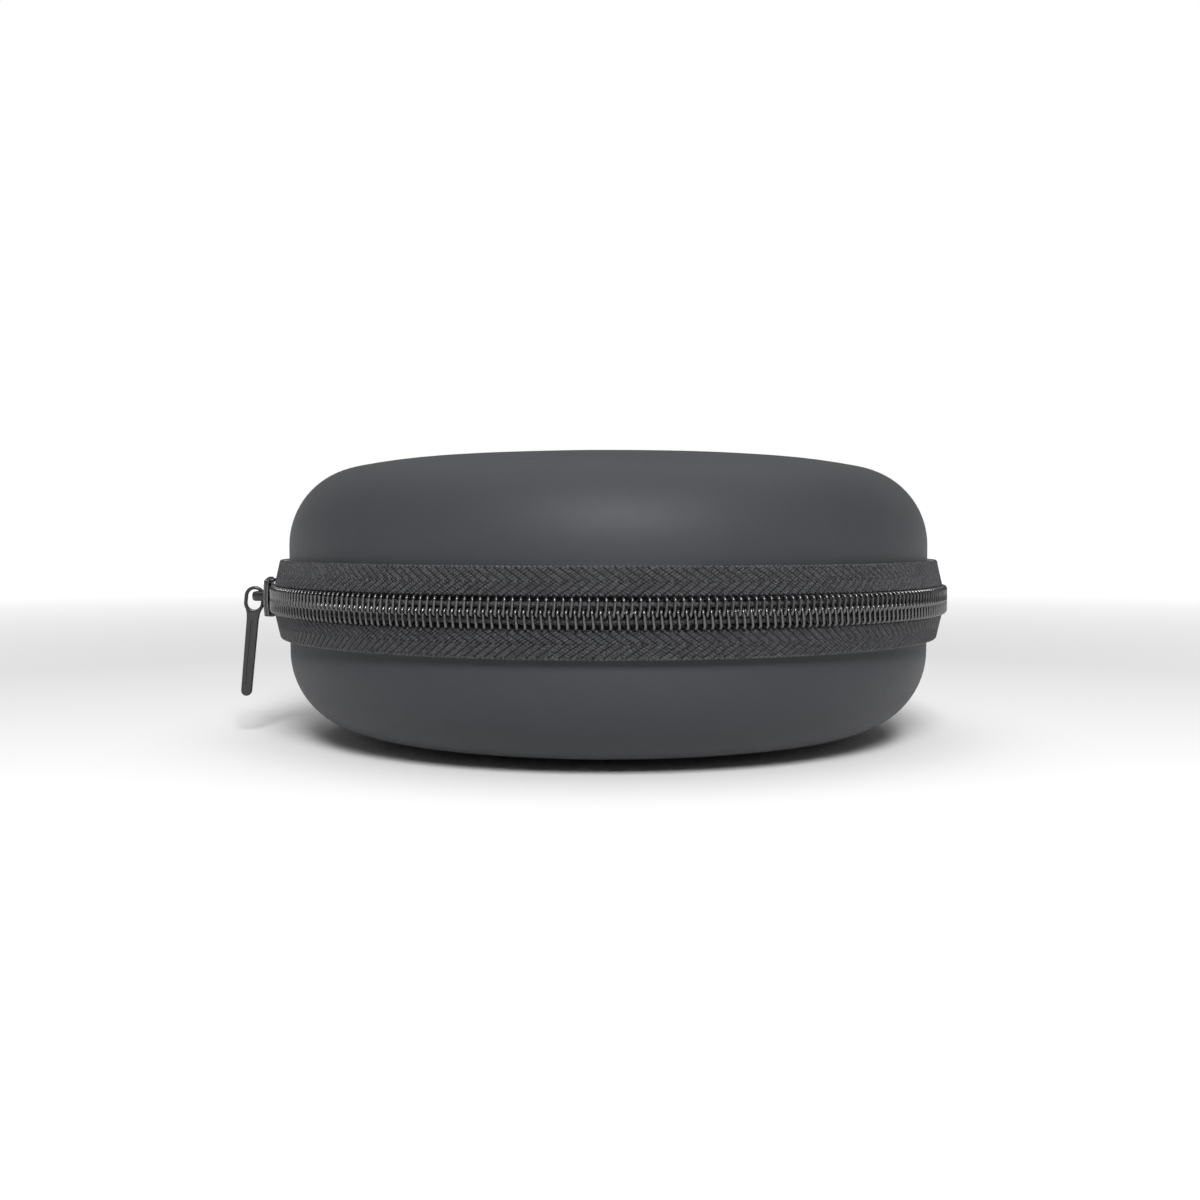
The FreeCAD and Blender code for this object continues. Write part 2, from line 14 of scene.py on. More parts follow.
import bpy
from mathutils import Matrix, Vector


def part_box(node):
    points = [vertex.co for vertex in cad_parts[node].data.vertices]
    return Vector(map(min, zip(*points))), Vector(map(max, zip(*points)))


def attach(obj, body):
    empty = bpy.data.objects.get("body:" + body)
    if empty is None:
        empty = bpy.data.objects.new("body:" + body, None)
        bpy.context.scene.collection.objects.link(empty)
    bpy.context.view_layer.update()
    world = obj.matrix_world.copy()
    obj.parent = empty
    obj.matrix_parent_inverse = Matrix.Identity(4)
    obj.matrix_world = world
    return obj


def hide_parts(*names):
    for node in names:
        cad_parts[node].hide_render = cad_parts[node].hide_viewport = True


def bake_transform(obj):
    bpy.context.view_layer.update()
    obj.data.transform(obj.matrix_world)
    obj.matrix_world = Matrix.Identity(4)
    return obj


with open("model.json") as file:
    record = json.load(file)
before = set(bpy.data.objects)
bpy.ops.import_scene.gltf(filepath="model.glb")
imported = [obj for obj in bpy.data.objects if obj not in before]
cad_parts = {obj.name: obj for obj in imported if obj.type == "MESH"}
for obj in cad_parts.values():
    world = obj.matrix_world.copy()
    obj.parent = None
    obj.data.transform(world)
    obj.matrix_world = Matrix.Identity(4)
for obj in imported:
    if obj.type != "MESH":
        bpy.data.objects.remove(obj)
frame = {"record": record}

MM = 0.001
WELD = 0.002 * MM
HAIR = 0.001 * MM
TINY = 1e-6
log = logging.getLogger("carrying_case")

Point = tuple[float, float, float]
Flat = tuple[float, float]
Piece = bpy.types.Object
Node = bpy.types.Node
Tree = bpy.types.NodeTree
Socket = bpy.types.NodeSocket
Material = bpy.types.Material


class Half(Enum):
    """The two halves of the case, by the body that each rides on, and which way each faces."""

    BASE = ("base", -1.0)
    LID = ("lid", 1.0)

    @property
    def body(self) -> str:
        """Name of the body that the half's pieces ride on."""
        return self.value[0]

    @property
    def up(self) -> float:
        """1 where the half lies above the zip, -1 where it lies below."""
        return self.value[1]


# --- the frame's measures -----------------------------------------------------------------


@dataclass(frozen=True)
class Measures:
    """Sizes of the case, read from the frame or shared by several pieces.

    Args:
        zip_height: Height of the zip's middle above the floor.
        crest: Outermost radius of the zip's coil.
        half_height: Zip's middle to the flat of a shell.
        pivot: Point that the pull turns about.
        pivot_radius: Distance from the case's axis to that point.
        slider_polar: Direction of the slider from the axis, in radians from +X.
        wall: Radius of a shell's upright wall.
        corner: Radius of the rounding between the wall and the dome.
        dome: Radius of the shallow dome's own curve.
        flat: Radius of the flat that the case stands on.
        shell_thickness: Thickness of the moulded foam.
        lining_thickness: Depth of the lining below the foam's inner face.
        rim: Height of the cut rim above the zip's middle.
        tape_edge: Height of the tape's sewn edge above the zip's middle.
        tape_fold: Height of the tape's fold beside the coil.
        tape_edge_radius: Radius of the tape's face at its sewn edge.
        tape_fold_radius: Radius of the tape's face at its fold.
        front: Direction of the middle of the zip, from +X.
        coil_margin: How far the rounded coil stands out past its plain stand-in.
    """

    zip_height: float
    crest: float
    half_height: float
    pivot: Vector
    pivot_radius: float
    slider_polar: float
    wall: float = 78.0 * MM
    corner: float = 19.0 * MM
    dome: float = 140.0 * MM
    flat: float = 35.0 * MM
    shell_thickness: float = 5.0 * MM
    lining_thickness: float = 0.8 * MM
    rim: float = 5.0 * MM
    tape_edge: float = 9.1 * MM
    tape_fold: float = 3.4 * MM
    tape_edge_radius: float = 80.1 * MM
    tape_fold_radius: float = 81.4 * MM
    front: float = math.radians(270.0)
    coil_margin: float = 0.18 * MM

    @classmethod
    def from_frame(cls) -> "Measures":
        """Read the driving measures from the frame's joints and boxes."""
        joints = {joint["name"]: joint for joint in frame["record"]["behaviour"]["joints"]}
        zip_height = joints["lid_hinge"]["pos_m"][2]
        pivot = Vector(joints["pull_swing"]["pos_m"])
        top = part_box("lid_shell")[1][2]
        return cls(
            zip_height=zip_height,
            crest=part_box("base_zip_coil")[1][0] + cls.coil_margin,
            half_height=top - zip_height,
            pivot=pivot,
            pivot_radius=math.hypot(pivot.x, pivot.y),
            slider_polar=math.atan2(pivot.y, pivot.x),
        )

    def face_radius(self, height: float) -> float:
        """Radius of the tape's outer face at a height from the zip's middle."""
        share = (self.tape_edge - height) / (self.tape_edge - self.tape_fold)
        return self.tape_edge_radius + share * (self.tape_fold_radius - self.tape_edge_radius)

    def spot(self, along: float, height: float, radius: float) -> Point:
        """Place near +X: along the tape, up from the zip's middle, out from the axis. In mm."""
        angle = along * MM / self.crest
        rise = self.zip_height + height * MM
        return (radius * MM * math.cos(angle), radius * MM * math.sin(angle), rise)


# --- modelling by hand, in code -----------------------------------------------------------


def deselect() -> None:
    """Leave edit mode and select nothing."""
    if bpy.context.mode != "OBJECT":
        bpy.ops.object.mode_set(mode="OBJECT")
    bpy.ops.object.select_all(action="DESELECT")


def take(piece: Piece) -> Piece:
    """Make a piece the only selected one, and active."""
    deselect()
    piece.select_set(True)
    bpy.context.view_layer.objects.active = piece
    return piece


def settle(piece: Piece) -> Piece:
    """Move a piece's place, turn and scale into its mesh."""
    take(piece)
    bpy.ops.object.transform_apply(location=True, rotation=True, scale=True)
    return piece


def weld(piece: Piece) -> Piece:
    """Merge a mesh's doubled vertices and turn its faces outwards."""
    take(piece)
    bpy.ops.object.mode_set(mode="EDIT")
    bpy.ops.mesh.select_all(action="SELECT")
    bpy.ops.mesh.remove_doubles(threshold=WELD)
    bpy.ops.mesh.normals_make_consistent(inside=False)
    bpy.ops.object.mode_set(mode="OBJECT")
    return piece


def add_modifier(piece: Piece, kind: str, **settings: object) -> None:
    """Add a modifier with its settings and apply it at once.

    Args:
        piece: The piece to change.
        kind: Blender's name for the modifier's type.
        **settings: The modifier's own settings.
    """
    take(piece)
    modifier = piece.modifiers.new(kind.title(), kind)
    for name, value in settings.items():
        setattr(modifier, name, value)
    bpy.ops.object.modifier_apply(modifier=modifier.name)


def extruded_line(name: str, points: Sequence[Point]) -> Piece:
    """Draw a chain of edges by extruding one vertex from point to point.

    Args:
        name: The new piece's name.
        points: The corners of the chain, in order.

    Returns:
        An open chain of edges.
    """
    deselect()
    bpy.ops.mesh.primitive_plane_add(size=MM, location=points[0])
    piece = bpy.context.active_object
    piece.name = name
    piece.data.name = name
    bpy.ops.object.mode_set(mode="EDIT")
    bpy.ops.mesh.select_all(action="SELECT")
    bpy.ops.mesh.merge(type="CENTER")
    for before, after in zip(points, points[1:]):
        step = Vector(after) - Vector(before)
        bpy.ops.mesh.extrude_vertices_move(TRANSFORM_OT_translate={"value": step})
    bpy.ops.object.mode_set(mode="OBJECT")
    return settle(piece)


def lathe(
    name: str,
    section: Sequence[Flat],
    steps: int,
    arc: float = math.tau,
    middle: float = 0.0,
    height: float = 0.0,
) -> Piece:
    """Spin a closed section about the case's axis.

    Args:
        name: The new piece's name.
        section: Corners as (radius, height) pairs, in order round the section.
        steps: Number of steps round the arc.
        arc: Angle that the piece spans.
        middle: Direction of the arc's middle, from +X.
        height: Height of the section's own zero.

    Returns:
        A closed piece at the origin.
    """
    start = middle - arc / 2
    around = Vector((math.cos(start), math.sin(start), 0))
    on_axis = section[0][0] < TINY
    ring = list(section) if on_axis else [*section, section[0]]
    points = [tuple(around * radius + Vector((0, 0, height + rise))) for radius, rise in ring]
    piece = extruded_line(name, points)
    take(piece)
    bpy.ops.object.mode_set(mode="EDIT")
    bpy.ops.mesh.select_all(action="SELECT")
    bpy.ops.mesh.remove_doubles(threshold=HAIR)
    bpy.ops.mesh.select_all(action="SELECT")
    if arc < math.tau - TINY:
        bpy.ops.mesh.edge_face_add()
    bpy.ops.mesh.spin(steps=steps, angle=arc, center=(0, 0, 0), axis=(0, 0, -1))
    bpy.ops.object.mode_set(mode="OBJECT")
    return weld(piece)


def arc_points(centre: Flat, radius: float, start: float, end: float, count: int) -> list[Flat]:
    """Points along an arc, both ends included. Angles are in degrees."""
    angles = [math.radians(start + (end - start) * step / count) for step in range(count + 1)]
    return [
        (centre[0] + radius * math.cos(angle), centre[1] + radius * math.sin(angle))
        for angle in angles
    ]


def swept_tube(
    name: str,
    path: Sequence[Point],
    radius: float,
    swell: Sequence[float] | None = None,
    sides: int = 8,
    curved: bool = False,
    capped: bool = True,
) -> Piece:
    """Sweep a round section along a path.

    Args:
        name: The new piece's name.
        path: The points of the path.
        radius: The tube's radius.
        swell: Factor on the radius at each point.
        sides: Number of sides of the section, an even number from 4.
        curved: Whether the path is a smooth curve with the points as its controls.
        capped: Whether the ends are closed.

    Returns:
        A mesh tube at the origin.
    """
    deselect()
    bpy.ops.curve.primitive_nurbs_path_add()
    piece = bpy.context.active_object
    piece.name = name
    curve = piece.data
    curve.splines.clear()
    spline = curve.splines.new("NURBS" if curved else "POLY")
    spline.points.add(len(path) - 1)
    for number, (point, place) in enumerate(zip(spline.points, path)):
        point.co = (*place, 1.0)
        point.radius = swell[number] if swell else 1.0
    if curved:
        spline.order_u = 3
        spline.use_endpoint_u = True
        spline.resolution_u = 4
    curve.twist_mode = "Z_UP"
    curve.bevel_depth = radius
    curve.bevel_resolution = sides // 2 - 2
    curve.use_fill_caps = capped
    take(piece)
    bpy.ops.object.convert(target="MESH")
    piece = bpy.context.active_object
    piece.data.name = name
    return settle(piece)


def ring_array(
    piece: Piece, count: int, step: float, start: float, merge: float = 0.0
) -> Piece:
    """Repeat a piece round the case's axis.

    Args:
        piece: One element, modelled at the +X side.
        count: Number of elements.
        step: Angle from one element to the next.
        start: Direction of the first element.
        merge: Distance under which neighbouring vertices are joined, or 0.

    Returns:
        The same piece, repeated.
    """
    deselect()
    bpy.ops.object.empty_add()
    turner = bpy.context.active_object
    turner.rotation_euler = (0, 0, step)
    bpy.context.view_layer.update()
    add_modifier(
        piece, "ARRAY", count=count, use_relative_offset=False, use_object_offset=True,
        offset_object=turner, use_merge_vertices=merge > 0, merge_threshold=merge,
    )
    bpy.data.objects.remove(turner)
    piece.rotation_euler = (0, 0, start)
    return settle(piece)


def first_of(middle: float, arc: float, step: float) -> float:
    """Direction of the first of the elements that fill an arc, from +X."""
    return middle - arc / 2 + step / 2


def joined(pieces: Sequence[Piece], name: str) -> Piece:
    """Join several pieces into one mesh under a name."""
    deselect()
    for piece in pieces:
        piece.select_set(True)
    bpy.context.view_layer.objects.active = pieces[0]
    if len(pieces) > 1:
        bpy.ops.object.join()
    whole = bpy.context.active_object
    whole.name = name
    whole.data.name = name
    return whole


def bead(
    name: str, centre: Point, size: Point, segments: int = 8, rings: int = 6
) -> Piece:
    """A small rounded grain: a sphere stretched to a size, at a place."""
    deselect()
    bpy.ops.mesh.primitive_uv_sphere_add(
        segments=segments, ring_count=rings, radius=0.5, location=centre, scale=size
    )
    piece = bpy.context.active_object
    piece.name = name
    return settle(piece)


def block(name: str, centre: Point, size: Point, bevel: float, segments: int = 3) -> Piece:
    """A block with rounded edges, at a place."""
    deselect()
    bpy.ops.mesh.primitive_cube_add(size=1.0, location=centre, scale=size)
    piece = settle(bpy.context.active_object)
    piece.name = name
    add_modifier(piece, "BEVEL", width=bevel, segments=segments, limit_method="NONE")
    return piece


def smooth(piece: Piece, degrees: float = 40.0) -> Piece:
    """Shade a piece smooth, with its sharp corners kept."""
    take(piece)
    bpy.ops.object.shade_smooth_by_angle(angle=math.radians(degrees))
    return piece


def ruffle(piece: Piece, strength: float, scale: float) -> Piece:
    """Push a surface in and out a little with soft procedural clouds."""
    clouds = bpy.data.textures.new(piece.name + "_ruffle", "CLOUDS")
    clouds.noise_scale = scale
    clouds.noise_depth = 1
    add_modifier(
        piece, "DISPLACE", texture=clouds, texture_coords="LOCAL", strength=strength, mid_level=0.5
    )
    return piece


def turned(piece: Piece, angle: float, rise: float = 0.0) -> Piece:
    """Turn a piece about the case's axis and lift it, into its mesh."""
    piece.rotation_euler = (0, 0, angle)
    piece.location = (0, 0, rise)
    return settle(piece)


# --- finishes -----------------------------------------------------------------------------


@dataclass
class Shader:
    """A node tree under construction, a material's or a group's."""

    tree: Tree

    def node(self, kind: str, **inputs: object) -> Node:
        """Add a node.

        Args:
            kind: The node's type, without its ShaderNode prefix.
            **inputs: Socket values or sockets to link, named as the sockets with
                underscores for spaces; other names set the node's own properties.

        Returns:
            The new node.
        """
        made = self.tree.nodes.new("ShaderNode" + kind)
        sockets = {socket.name.replace(" ", "_"): socket for socket in made.inputs}
        properties = {key: value for key, value in inputs.items() if key not in sockets}
        for key, value in properties.items():
            setattr(made, key, value)
        sockets = {socket.name.replace(" ", "_"): socket for socket in made.inputs if socket.enabled}
        for key, value in inputs.items():
            if key not in properties:
                self.feed(sockets[key], value)
        return made

    def feed(self, socket: Socket, value: object) -> None:
        """Link a socket to another, or set its value."""
        if isinstance(value, Socket):
            self.tree.links.new(value, socket)
        else:
            socket.default_value = value

    def dial(self, made: Node, **inputs: object) -> None:
        """Feed several of a node's sockets, named with underscores for spaces."""
        for key, value in inputs.items():
            self.feed(made.inputs[key.replace("_", " ")], value)

    def math(self, operation: str, *values: object, clamp: bool = False) -> Socket:
        """Add a Math node and return its output."""
        made = self.tree.nodes.new("ShaderNodeMath")
        made.operation = operation
        made.use_clamp = clamp
        for socket, value in zip(made.inputs, values):
            self.feed(socket, value)
        return made.outputs[0]

    def mix_colour(self, share: object, one: object, other: object) -> Socket:
        """Mix two colours by a share and return the result's socket."""
        made = self.tree.nodes.new("ShaderNodeMix")
        made.data_type = "RGBA"
        self.feed(made.inputs[0], share)
        self.feed(made.inputs[6], one)
        self.feed(made.inputs[7], other)
        return made.outputs[2]

    def group(self, tree: Tree, **inputs: object) -> Node:
        """Place a shared effect with its own values."""
        made = self.tree.nodes.new("ShaderNodeGroup")
        made.node_tree = tree
        self.dial(made, **inputs)
        return made

    def place(self) -> Socket:
        """The piece's own coordinates, in metres."""
        return self.node("TexCoord").outputs["Object"]


def new_group(
    name: str, inputs: dict[str, float], outputs: Sequence[str]
) -> tuple[Shader, dict[str, Socket], Node]:
    """Start a shared effect.

    Args:
        name: The group's name.
        inputs: Names and default values of its inputs.
        outputs: Names of its outputs, all values.

    Returns:
        The tree, its inputs' sockets by name, and the output node.
    """
    tree = bpy.data.node_groups.new(name, "ShaderNodeTree")
    for label, value in inputs.items():
        socket = tree.interface.new_socket(label, in_out="INPUT", socket_type="NodeSocketFloat")
        socket.default_value = value
    for label in outputs:
        tree.interface.new_socket(label, in_out="OUTPUT", socket_type="NodeSocketFloat")
    source = tree.nodes.new("NodeGroupInput")
    sink = tree.nodes.new("NodeGroupOutput")
    return Shader(tree), {socket.name: socket for socket in source.outputs}, sink


def cloud_tone() -> Tree:
    """Soft uneven tone, from dye, handling and dust: a value that drifts round 0.5."""
    shader, given, sink = new_group("cloud_tone", {"Scale": 60.0, "Contrast": 0.5}, ["Tone"])
    broad = shader.node("TexNoise", Vector=shader.place(), Scale=given["Scale"], Detail=3.0)
    finer = shader.math("MULTIPLY", given["Scale"], 6.3)
    dusty = shader.node("TexNoise", Vector=shader.place(), Scale=finer, Detail=2.0)
    both = shader.math("ADD", broad.outputs[0], shader.math("MULTIPLY", dusty.outputs[0], 0.35))
    centred = shader.math("SUBTRACT", both, 0.675)
    tone = shader.math("MULTIPLY_ADD", centred, given["Contrast"], 0.5)
    shader.tree.links.new(tone, sink.inputs["Tone"])
    return shader.tree


def fibre() -> Tree:
    """Fine spun strands: their height, and how light each one is."""
    shader, given, sink = new_group("fibre", {"Scale": 2500.0, "Stretch": 0.35}, ["Height", "Tone"])
    combine = shader.node("CombineXYZ", X=1.0, Y=1.0, Z=given["Stretch"])
    stretched = shader.node("VectorMath", operation="MULTIPLY")
    shader.feed(stretched.inputs[0], shader.place())
    shader.feed(stretched.inputs[1], combine.outputs[0])
    strands = shader.node(
        "TexNoise", Vector=stretched.outputs[0], Scale=given["Scale"], Detail=2.0, Distortion=0.4
    )
    slower = shader.math("MULTIPLY", given["Scale"], 0.23)
    bundles = shader.node("TexNoise", Vector=shader.place(), Scale=slower, Detail=1.0)
    height = shader.math("MULTIPLY_ADD", bundles.outputs[0], 0.5, strands.outputs[0])
    shader.tree.links.new(height, sink.inputs["Height"])
    shader.tree.links.new(strands.outputs[0], sink.inputs["Tone"])
    return shader.tree


def pebble() -> Tree:
    """Very fine moulded grain of a coated skin."""
    shader, given, sink = new_group("pebble", {"Scale": 1600.0}, ["Height"])
    cells = shader.node("TexVoronoi", Vector=shader.place(), Scale=given["Scale"])
    half = shader.math("MULTIPLY", given["Scale"], 0.45)
    drift = shader.node("TexNoise", Vector=shader.place(), Scale=half, Detail=3.0)
    height = shader.math("MULTIPLY_ADD", drift.outputs[0], 0.8, cells.outputs["Distance"])
    shader.tree.links.new(height, sink.inputs["Height"])
    return shader.tree


@dataclass
class Effects:
    """The shared effects, each built once."""

    cloud: Tree = field(default_factory=cloud_tone)
    fibre: Tree = field(default_factory=fibre)
    pebble: Tree = field(default_factory=pebble)


Colour = tuple[float, float, float]


def opaque(colour: Colour) -> tuple[float, float, float, float]:
    """A colour with full alpha."""
    return (*colour, 1.0)


@dataclass(frozen=True)
class Finish:
    """A surface finish. Each kind adds its own nodes round one Principled shader.

    Args:
        name: The material's name.
        slot: The record's material slot that it stands for.
        colour: Its main colour.
        shade: A second colour that it drifts towards.
        roughness: Mean roughness.
    """

    name: str
    slot: str
    colour: Colour
    shade: Colour
    roughness: float

    def start(self) -> tuple[Material, Shader, Node]:
        """Make the material and return it with its tree and its shader."""
        material = bpy.data.materials.new(self.name)
        material.use_nodes = True
        material.diffuse_color = opaque(self.colour)
        tree = material.node_tree
        principled = next(node for node in tree.nodes if node.type == "BSDF_PRINCIPLED")
        principled.inputs["Roughness"].default_value = self.roughness
        return material, Shader(tree), principled

    def uneven(
        self, shader: Shader, tone: Socket, swing: float
    ) -> Socket:
        """A roughness that swings round the finish's own with a tone from 0 to 1."""
        return shader.math("MULTIPLY_ADD", tone, swing, self.roughness - swing / 2)

    def finish_off(
        self, shader: Shader, principled: Node, height: Socket,
        depth: float, strength: float = 1.0,
    ) -> None:
        """Feed a height into the shader's normal, with the height's full depth in metres."""
        bump = shader.node("Bump", Height=height, Distance=depth, Strength=strength)
        shader.feed(principled.inputs["Normal"], bump.outputs[0])


@dataclass(frozen=True)
class SkinFinish(Finish):
    """Matte coated skin laminated on the moulded foam."""

    def build(self, effects: Effects) -> Material:
        """Make the material."""
        material, shader, principled = self.start()
        drift = shader.group(effects.cloud, Scale=38.0, Contrast=0.9)
        dust = shader.group(effects.cloud, Scale=420.0, Contrast=0.6)
        colour = shader.mix_colour(drift.outputs[0], opaque(self.colour), opaque(self.shade))
        shader.dial(
            principled, Base_Color=colour, Roughness=self.uneven(shader, dust.outputs[0], 0.12),
            Specular_IOR_Level=0.28, Sheen_Weight=0.05, Sheen_Roughness=0.5,
        )
        grain = shader.group(effects.pebble, Scale=2100.0)
        self.finish_off(shader, principled, grain.outputs[0], 0.02 * MM, 0.6)
        return material


@dataclass(frozen=True)
class ClothFinish(Finish):
    """Woven or knitted cloth whose yarns are geometry: only the fibres are left to bump.

    Args:
        strand_scale: How fine the fibres are.
        strand_depth: How far they stand out.
        sheen: Weight of the soft rim of light that loose fibres give.
        speckle: How much one float differs in tone from the next.
        float_size: Size of a float.
    """

    strand_scale: float = 2600.0
    strand_depth: float = 0.10 * MM
    sheen: float = 0.35
    speckle: float = 0.0
    float_size: float = 0.8 * MM

    def build(self, effects: Effects) -> Material:
        """Make the material."""
        material, shader, principled = self.start()
        strands = shader.group(effects.fibre, Scale=self.strand_scale, Stretch=0.5)
        drift = shader.group(effects.cloud, Scale=110.0, Contrast=0.7)
        cells = shader.node("TexVoronoi", Vector=shader.place(), Scale=1.0 / self.float_size)
        each = shader.node("SeparateColor", Color=cells.outputs["Color"]).outputs[0]
        spots = shader.math("MULTIPLY_ADD", each, self.speckle, -0.55 - self.speckle / 2)
        share = shader.math(
            "MULTIPLY_ADD", strands.outputs["Tone"], 1.6,
            shader.math("MULTIPLY_ADD", drift.outputs[0], 0.5, spots), clamp=True,
        )
        colour = shader.mix_colour(share, opaque(self.shade), opaque(self.colour))
        shader.dial(
            principled, Base_Color=colour,
            Roughness=self.uneven(shader, strands.outputs["Tone"], 0.2),
            Specular_IOR_Level=0.4, Sheen_Weight=self.sheen, Sheen_Roughness=0.45,
        )
        self.finish_off(shader, principled, strands.outputs["Height"], self.strand_depth)
        return material


@dataclass(frozen=True)
class FilamentFinish(Finish):
    """Drawn polyester monofilament, satin, a little scuffed on its crests."""

    def build(self, effects: Effects) -> Material:
        """Make the material."""
        material, shader, principled = self.start()
        drift = shader.group(effects.cloud, Scale=900.0, Contrast=1.2)
        colour = shader.mix_colour(drift.outputs[0], opaque(self.colour), opaque(self.shade))
        shader.dial(
            principled, Base_Color=colour, Roughness=self.uneven(shader, drift.outputs[0], 0.16),
            Specular_IOR_Level=0.9, Coat_Weight=1.0, Coat_Roughness=0.17,
        )
        scuff = shader.group(effects.fibre, Scale=5200.0, Stretch=1.0)
        self.finish_off(shader, principled, scuff.outputs["Height"], 0.012 * MM, 0.5)
        return material


@dataclass(frozen=True)
class PaintedMetalFinish(Finish):
    """Satin black paint on cast zinc, rubbed thin along its edges."""

    bare: Colour = (0.16, 0.16, 0.165)

    def build(self, effects: Effects) -> Material:
        """Make the material."""
        material, shader, principled = self.start()
        drift = shader.group(effects.cloud, Scale=700.0, Contrast=1.4)
        painted = shader.mix_colour(drift.outputs[0], opaque(self.colour), opaque(self.shade))
        edge = shader.node("NewGeometry").outputs["Pointiness"]
        sharp = shader.math("MULTIPLY", shader.math("SUBTRACT", edge, 0.56), 9.0, clamp=True)
        worn = shader.math("MULTIPLY", sharp, drift.outputs[0], clamp=True)
        colour = shader.mix_colour(worn, painted, opaque(self.bare))
        shader.dial(
            principled, Base_Color=colour, Roughness=self.uneven(shader, drift.outputs[0], 0.2),
            Coat_Weight=0.25, Coat_Roughness=0.22,
        )
        orange_peel = shader.group(effects.pebble, Scale=3000.0)
        self.finish_off(shader, principled, orange_peel.outputs[0], 0.01 * MM, 0.5)
        return material


@dataclass(frozen=True)
class KnitFinish(Finish):
    """Brushed knit lining: small loops under a soft nap."""

    loop: float = 1.1 * MM

    def build(self, effects: Effects) -> Material:
        """Make the material."""
        material, shader, principled = self.start()
        loops = shader.node("TexVoronoi", Vector=shader.place(), Scale=1.0 / self.loop)
        nap = shader.group(effects.fibre, Scale=1900.0, Stretch=0.8)
        drift = shader.group(effects.cloud, Scale=70.0, Contrast=1.0)
        drifting = shader.math("MULTIPLY_ADD", drift.outputs[0], 0.6, -0.35)
        share = shader.math("MULTIPLY_ADD", nap.outputs["Tone"], 0.9, drifting, clamp=True)
        colour = shader.mix_colour(share, opaque(self.shade), opaque(self.colour))
        shader.dial(
            principled, Base_Color=colour, Roughness=self.uneven(shader, drift.outputs[0], 0.1),
            Specular_IOR_Level=0.25, Sheen_Weight=0.6, Sheen_Roughness=0.35,
        )
        rounded = shader.math("SUBTRACT", 1.0, loops.outputs["Distance"])
        height = shader.math("MULTIPLY_ADD", nap.outputs["Height"], 0.8, rounded)
        self.finish_off(shader, principled, height, 0.16 * MM)
        return material


@dataclass(frozen=True)
class NetFinish(Finish):
    """Knitted net: crossing strands with open diamonds between them."""

    pitch: float = 2.4 * MM
    strand: float = 0.24

    def build(self, effects: Effects) -> Material:
        """Make the material."""
        material, shader, principled = self.start()
        parts = shader.node("SeparateXYZ", Vector=shader.place())
        strands = []
        for sign in (1.0, -1.0):
            slant = shader.math("MULTIPLY_ADD", parts.outputs[0], sign, parts.outputs[1])
            phase = shader.math("MULTIPLY", slant, 1.0 / self.pitch)
            saw = shader.math("ABSOLUTE", shader.math("SUBTRACT", shader.math("FRACT", phase), 0.5))
            strands.append(saw)
        nearest = shader.math("MINIMUM", *strands)
        net = shader.math("LESS_THAN", nearest, self.strand / 2)
        knots = shader.math("LESS_THAN", shader.math("MAXIMUM", *strands), self.strand)
        alpha = shader.math("MAXIMUM", net, knots)
        fuzz = shader.group(effects.fibre, Scale=3200.0, Stretch=1.0)
        colour = shader.mix_colour(fuzz.outputs["Tone"], opaque(self.shade), opaque(self.colour))
        shader.dial(principled, Base_Color=colour, Alpha=alpha, Sheen_Weight=0.3)
        rounded = shader.math("SUBTRACT", 1.0, shader.math("MULTIPLY", nearest, 4.0))
        height = shader.math("MULTIPLY_ADD", fuzz.outputs["Height"], 0.4, rounded)
        self.finish_off(shader, principled, height, 0.2 * MM)
        return material


FINISHES: tuple[Finish, ...] = (
    SkinFinish("moulded_skin", "shell_skin", (0.034, 0.036, 0.041), (0.026, 0.028, 0.032), 0.58),
    ClothFinish(
        "herringbone_tape", "zip_tape", (0.056, 0.057, 0.062), (0.005, 0.005, 0.006), 0.40,
        sheen=0.06, speckle=0.6, float_size=0.45 * MM,
    ),
    ClothFinish("binding_cloth", "binding", (0.036, 0.036, 0.039), (0.012, 0.012, 0.014), 0.8),
    ClothFinish("sewing_thread", "thread", (0.034, 0.034, 0.038), (0.010, 0.010, 0.012), 0.55),
    FilamentFinish("coil_filament", "zip_coil", (0.007, 0.007, 0.008), (0.012, 0.012, 0.014), 0.24),
    PaintedMetalFinish("slider_paint", "zip_metal", (0.010, 0.010, 0.011), (0.016, 0.016, 0.018), 0.32),
    KnitFinish("brushed_lining", "lining", (0.040, 0.041, 0.045), (0.016, 0.016, 0.019), 0.9),
    NetFinish("pocket_net", "mesh", (0.045, 0.045, 0.050), (0.018, 0.018, 0.020), 0.7),
)
# The near-black copy of the tape's cloth below is painted shade, not a darker yarn: it darkens the tape's
# body, the sunk yarns and the hinge's hems where the gaps between ribs fall into shadow.
PAINTED_SHADE_CLOTH = ClothFinish("tape_ground", "zip_tape", (0.009, 0.009, 0.010), (0.004, 0.004, 0.005), 0.9)


